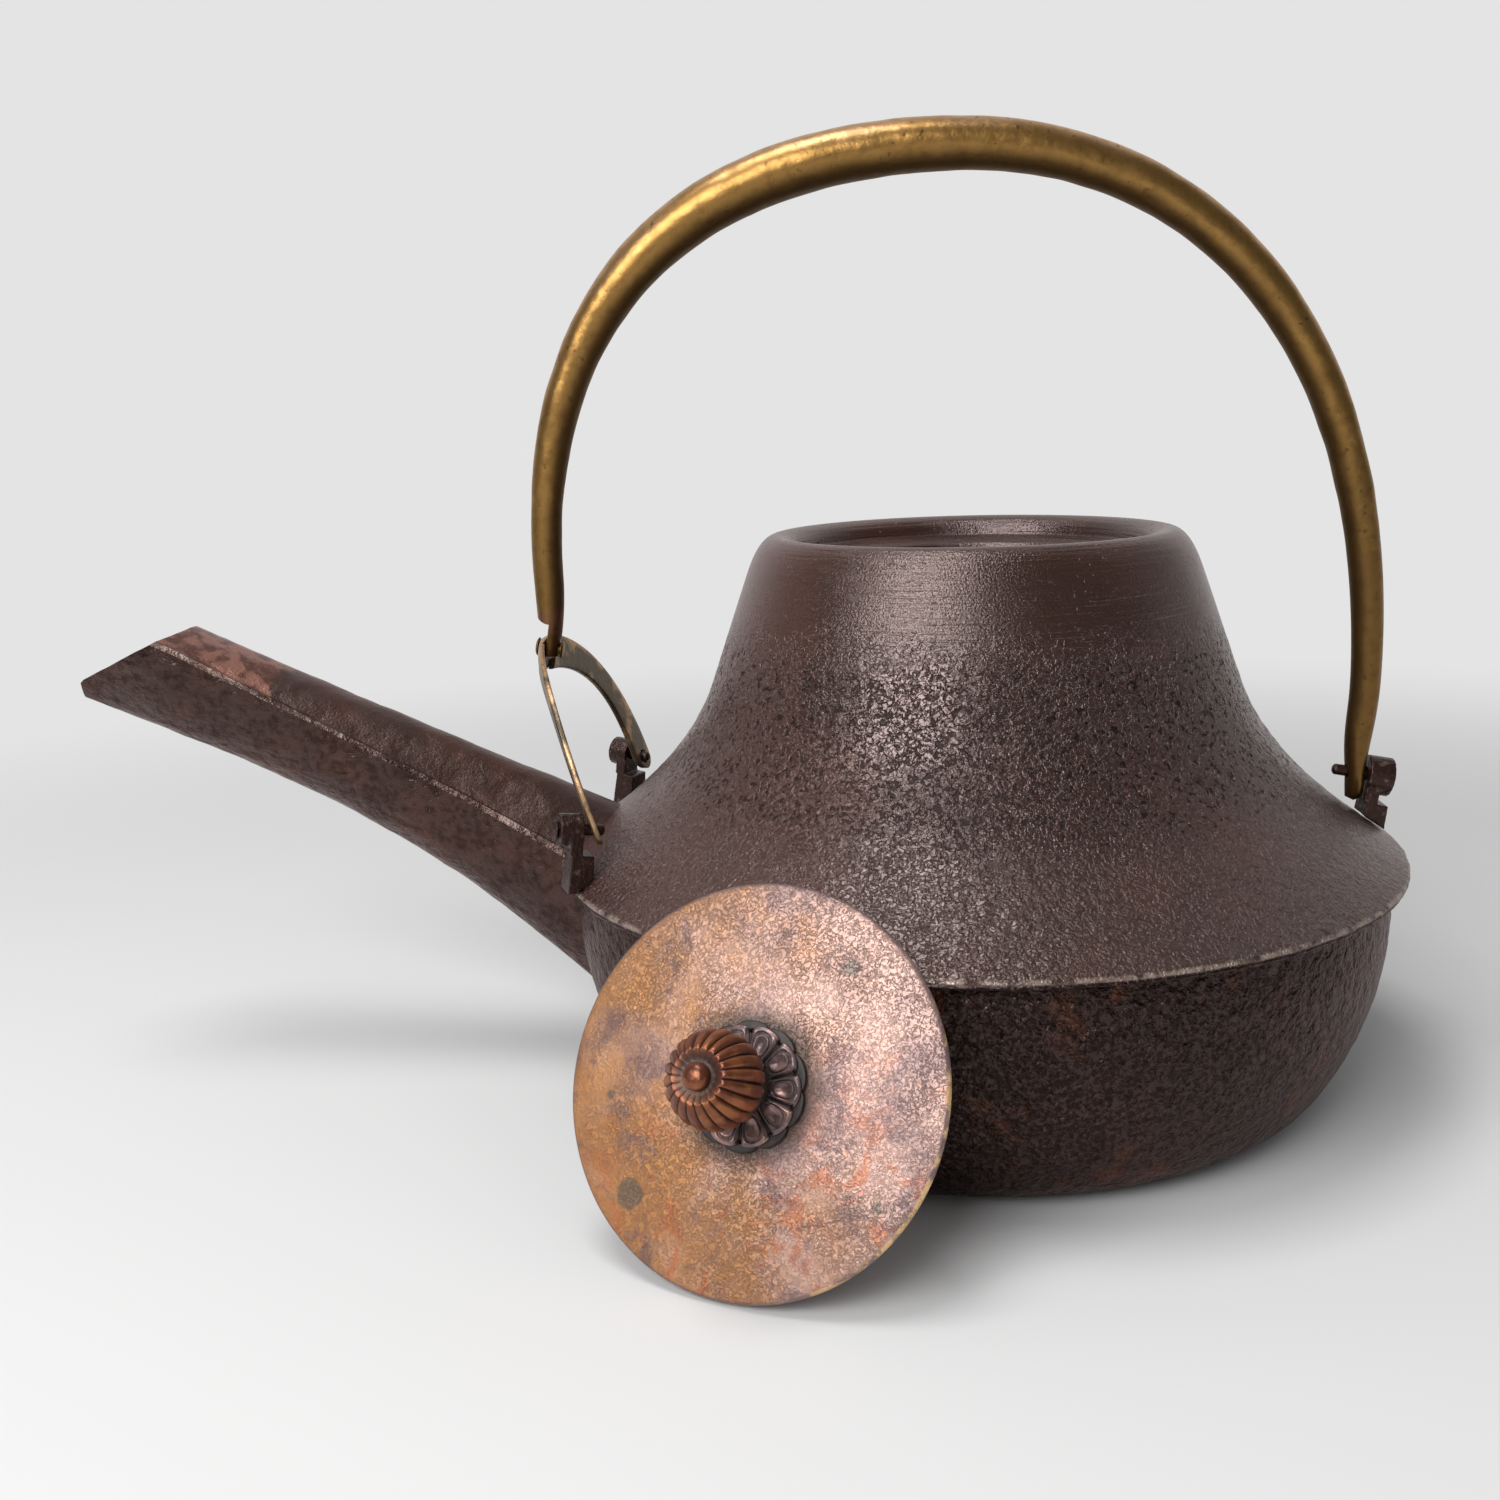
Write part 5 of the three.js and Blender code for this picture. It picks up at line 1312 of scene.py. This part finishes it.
class MakeFlower(bpy.types.Operator):
    """Flower washer: ten hollowed petals over a second row set between them"""

    bl_idname = "kettle.flower"
    bl_label = "Flower washer"

    def execute(self, context):
        s = context.scene.kettle_lid
        base = s.thickness + s.dome + s.gap
        steps = s.petals * 48
        rings = [
            [self.spot(s, 2 * math.pi * j / steps, *level, base) for j in range(steps)]
            for level in self.levels()
        ]
        piece = skinned("flower_washer_petals", rings, closed=True)
        mark(piece, "groove", lambda co: self.groove(s, co, base))
        piece.data.transform(lid_place(s))
        finish = flower_metal(context.scene.kettle_colours, s)
        finished(piece, finish, "lid", "flower_copper", "flower_washer", angle=60)
        return {"FINISHED"}

    def levels(self):
        """Layer, share of the radius and share of the height of each ring, from the hole's foot."""
        made = [("under", 0, 0), ("under", 0.5, 0), ("under", 0.97, 0), ("under", 1, 0.08)]
        made += [("under", 1, 0.3), ("under", 0.985, 0.38), ("under", 0.96, 0.4), ("over", 0.985, 0.4)]
        made += [("over", 1, 0.5), ("over", 1, 0.78), ("over", 0.985, 0.86)]
        made += [("petal", 0.98 - 0.94 * i / 44, 0) for i in range(1, 45)]
        return made + [("petal", 0, 0)]

    def across(self, s, angle):
        """0 on an upper petal's middle line and 1 in the notch between two petals."""
        return abs((angle * s.petals / (2 * math.pi)) % 1 - 0.5) * 2

    def outline(self, s, angle, outer):
        across = self.across(s, angle)
        return outer - s.petal_depth * (1 - math.sqrt(max(1 - across ** 2.2, 0)))

    def spot(self, s, angle, layer, share, level, base):
        hole = s.stud_radius + 0.15 * MM
        if layer == "under":
            outer = self.outline(s, angle + math.pi / s.petals, s.flower_radius)
        else:
            outer = self.outline(s, angle, s.flower_radius * s.over_share)
        radius = between(hole, outer, share)
        height = level if layer != "petal" else self.relief(s, angle, share)
        return Vector((
            radius * math.cos(angle), radius * math.sin(angle), base + s.flower_thickness * height
        ))

    def relief(self, s, angle, share):
        """Height of the upper petals: a raised rim, an incised line and a hollow inside it."""
        across, spoon = self.across(s, angle), self.spoon(s, angle, share)
        height = 1 - 0.60 * smooth(across, 0.66, 1.0) - 0.25 * smooth(share, 0.93, 1.0)
        height -= 0.26 * smooth(spoon, 0.98, 0.86) * smooth(spoon, 0.70, 0.82)
        height -= 0.30 * smooth(spoon, 0.74, 0.1)
        return between(0.5, height, smooth(share, 0.30, 0.46))

    def spoon(self, s, angle, share):
        """How far out a place lies in a petal's oval hollow, whose edge is at 1."""
        wide, long = self.across(s, angle) / 0.76, abs(share - 0.64) / 0.30
        return (wide ** 2.6 + long ** 2.6) ** (1 / 2.6)

    def groove(self, s, co, base):
        """1 in the dark places: painted shade under the petals' edges, in the notches between them and at the collar
        by the knob's foot, and patina in the petals' incised lines.
        """
        angle = math.atan2(co.y, co.x)
        outer = self.outline(s, angle, s.flower_radius * s.over_share)
        share = math.hypot(co.x, co.y) / outer
        if co.z < base + s.flower_thickness * 0.6 and share > 0.9:
            return 0.75
        spoon = self.spoon(s, angle, share)
        line = smooth(spoon, 0.97, 0.86) * smooth(spoon, 0.68, 0.80)
        notch = smooth(self.across(s, angle), 0.82, 0.97)
        return max(notch, line * 0.55, smooth(share, 0.46, 0.34))


class MakeKnob(bpy.types.Operator):
    """Knob: a ribbed ball on a neck, dimpled round the nub of its stud"""

    bl_idname = "kettle.knob"
    bl_label = "Knob and stud"

    def execute(self, context):
        s = context.scene.kettle_lid
        base = s.thickness + s.dome + s.gap + s.flower_thickness + s.gap
        top = base + s.neck_height + s.knob_height
        steps = s.ribs * 16
        rings = []
        for radius, height, rib in self.profile(s, base, top):
            ring = []
            for j in range(steps):
                angle = 2 * math.pi * j / steps
                groove = (1 - abs(math.sin(angle * s.ribs / 2))) ** 1.8
                reach = radius - s.rib_depth * 1.5 * rib * groove
                ring.append(Vector((reach * math.cos(angle), reach * math.sin(angle), height)))
            rings.append(ring)
        piece = skinned("knob_ball", rings, closed=True)
        finish = knob_metal(context.scene.kettle_colours, s)
        mark(piece, "groove", lambda co: self.groove(s, co, base, top))
        piece.data.transform(lid_place(s))
        finished(piece, finish, "lid", "knob_copper", "knob", angle=60)
        stud = softened("knob_stud_worn", "knob_stud", 0.12 * MM, 4)
        finished(stud, finish, "lid", "knob_copper", "knob_stud", angle=180)
        return {"FINISHED"}

    def profile(self, s, base, top):
        """Radius, height and rib share from the stud's hole round and back."""
        hole = s.stud_radius + 0.15 * MM
        line = [(hole, base, 0), (s.neck_radius + 0.9 * MM, base, 0)]
        line += [
            (between(s.neck_radius + 0.9 * MM, s.neck_radius, smooth(share, 0, 1)), base + s.neck_height * 0.7 * share, 0)
            for share in (0.25, 0.5, 0.75, 1)
        ]
        middle = base + s.neck_height + s.knob_height / 2
        for i in range(41):
            angle = math.radians(between(-64, 55, i / 40))
            height = middle + s.knob_height / 2 * math.sin(angle) / math.sin(math.radians(64))
            line.append((s.knob_radius * math.cos(angle), height, math.cos(angle) ** 0.5))
        floor = top - s.dimple_depth
        for i in range(1, 9):
            share = i / 8
            radius = between(s.knob_radius * math.cos(math.radians(55)), s.dimple_radius * 0.68, share)
            line.append((radius, between(line[46][1], floor, smooth(share, 0, 1)), 0.7 * (1 - share)))
        return line + [(hole, floor, 0)]

    def groove(self, s, co, base, top):
        angle = math.atan2(co.y, co.x)
        notch = (1 - abs(math.sin(angle * s.ribs / 2))) ** 1.8
        radius = math.hypot(co.x, co.y)
        dimple = smooth(radius, s.dimple_radius + 1.8 * MM, s.dimple_radius - 0.9 * MM) * 0.85
        # Painted shade on the neck under the ball.
        neck = smooth(co.z, base + s.neck_height + MM, base + s.neck_height - MM)
        return max(notch, dimple * (1 if co.z > base + 8 * MM else 0), neck)


class MakeStage(bpy.types.Operator):
    """Pale floor, soft lamps and the camera"""

    bl_idname = "kettle.stage"
    bl_label = "Stage"

    def execute(self, context):
        scene = context.scene
        scene.view_settings.view_transform = "Standard"
        self.add_floor(scene.kettle_colours)
        self.add_lamp("front_softbox", (-0.34, -0.56, 0.46), (0.52, 0.34), 4.5)
        self.add_lamp("top_softbox", (-0.20, -0.12, 0.88), (0.34, 0.34), 3.2)
        self.add_world(scene)
        self.add_camera(scene)
        return {"FINISHED"}

    def add_floor(self, tones):
        """A pale floor that fades into the backdrop, away from the kettle."""
        piece = start(bpy.ops.mesh.primitive_plane_add, "floor", size=12)
        floor = Finish("floor")
        x, y, z = floor.axes()
        rays = floor.node("ShaderNodeLightPath")
        seen = rays[0] + rays[3] + rays[6]
        far = floor.ease(distance(x, y), 0.20, 0.50)
        matt = floor.node(
            "ShaderNodeBsdfDiffuse", None, {"Color": tones.floor, "Roughness": 0}
        )[0]
        glow = floor.node("ShaderNodeEmission", None, {"Color": tones.backdrop, "Strength": 1})[0]
        surface = floor.node("ShaderNodeMixShader", None, {0: far * seen, 1: matt, 2: glow})[0]
        floor.node("ShaderNodeOutputMaterial", None, {"Surface": surface})
        piece.data.materials.append(floor.material)

    def add_lamp(self, name, place, size, power):
        light = bpy.data.lights.new(name, "AREA")
        light.energy = power
        light.shape = "RECTANGLE"
        light.size, light.size_y = size
        lamp = bpy.data.objects.new(name, light)
        lamp.location = place
        aim = Vector((0, 0, 0.06)) - lamp.location
        lamp.rotation_euler = aim.to_track_quat("-Z", "Y").to_euler()
        bpy.context.scene.collection.objects.link(lamp)

    def add_world(self, scene):
        """Even light for matt surfaces, and the pale backdrop for the camera and for gloss.

        What gloss shows dims towards the front, where the room behind the lamps is darker.
        """
        studio = Finish("studio", bpy.data.worlds.new("studio"))
        scene.world = studio.material
        rays = studio.node("ShaderNodeLightPath")
        way = studio.axes(studio.node("ShaderNodeTexCoord")[0])
        behind = studio.ease(way[1], -0.15, 0.85, 0.10, 1)
        tone = studio.blend(rays[3] * (1 - behind), scene.kettle_colours.backdrop, (0, 0, 0))
        light = studio.node("ShaderNodeBackground", None, {"Color": (1, 1, 1), "Strength": 0.38})[0]
        backdrop = studio.node("ShaderNodeBackground", None, {"Color": tone, "Strength": 1})[0]
        seen = rays[0] + rays[3] + rays[6]
        surface = studio.node("ShaderNodeMixShader", None, {0: seen, 1: light, 2: backdrop})[0]
        studio.node("ShaderNodeOutputWorld", None, {"Surface": surface})

    def add_camera(self, scene):
        yaw, pitch, roll = (math.radians(angle) for angle in (-4.549, 12.235, -1.828))
        forward = Vector((
            math.sin(yaw) * math.cos(pitch), math.cos(yaw) * math.cos(pitch), -math.sin(pitch)
        ))
        right = Vector((math.cos(yaw), -math.sin(yaw), 0))
        up = right.cross(forward)
        level = right * math.cos(roll) + up * math.sin(roll)
        head = up * math.cos(roll) - right * math.sin(roll)
        lens = bpy.data.cameras.new("camera")
        lens.sensor_width = 36
        lens.lens = 38.4
        lens.clip_start = 0.01
        camera = bpy.data.objects.new("camera", lens)
        turn = Matrix((level, head, -forward)).transposed().to_4x4()
        camera.matrix_world = Matrix.Translation((-0.01749, -0.286, 0.12149)) @ turn
        scene.collection.objects.link(camera)
        scene.camera = camera


OPERATORS = (
    MakeKettleBody, MakeSpout, MakeEars, MakeFork, MakeBail, MakeLid, MakeFlower, MakeKnob, MakeStage,
)
GROUPS = {
    "kettle_body": KettleBodySizes,
    "kettle_spout": SpoutSizes,
    "kettle_hardware": HardwareSizes,
    "kettle_lid": LidSizes,
    "kettle_colours": KettleColours,
}


class KettlePanel(bpy.types.Panel):
    """Buttons for the kettle's pieces"""

    bl_idname = "VIEW3D_PT_kettle"
    bl_label = "Kettle"
    bl_space_type = "VIEW_3D"
    bl_region_type = "UI"
    bl_category = "Kettle"

    def draw(self, context):
        for operator in OPERATORS:
            self.layout.operator(operator.bl_idname)


def register():
    for group in GROUPS.values():
        bpy.utils.register_class(group)
    for name, group in GROUPS.items():
        setattr(bpy.types.Scene, name, PointerProperty(type=group))
    for kind in (*OPERATORS, KettlePanel):
        bpy.utils.register_class(kind)


def unregister():
    for kind in (KettlePanel, *reversed(OPERATORS)):
        bpy.utils.unregister_class(kind)
    for name, group in GROUPS.items():
        delattr(bpy.types.Scene, name)
        bpy.utils.unregister_class(group)


def main():
    register()
    for operator in OPERATORS:
        group, name = operator.bl_idname.split(".")
        getattr(getattr(bpy.ops, group), name)()


if __name__ == "__main__":
    main()
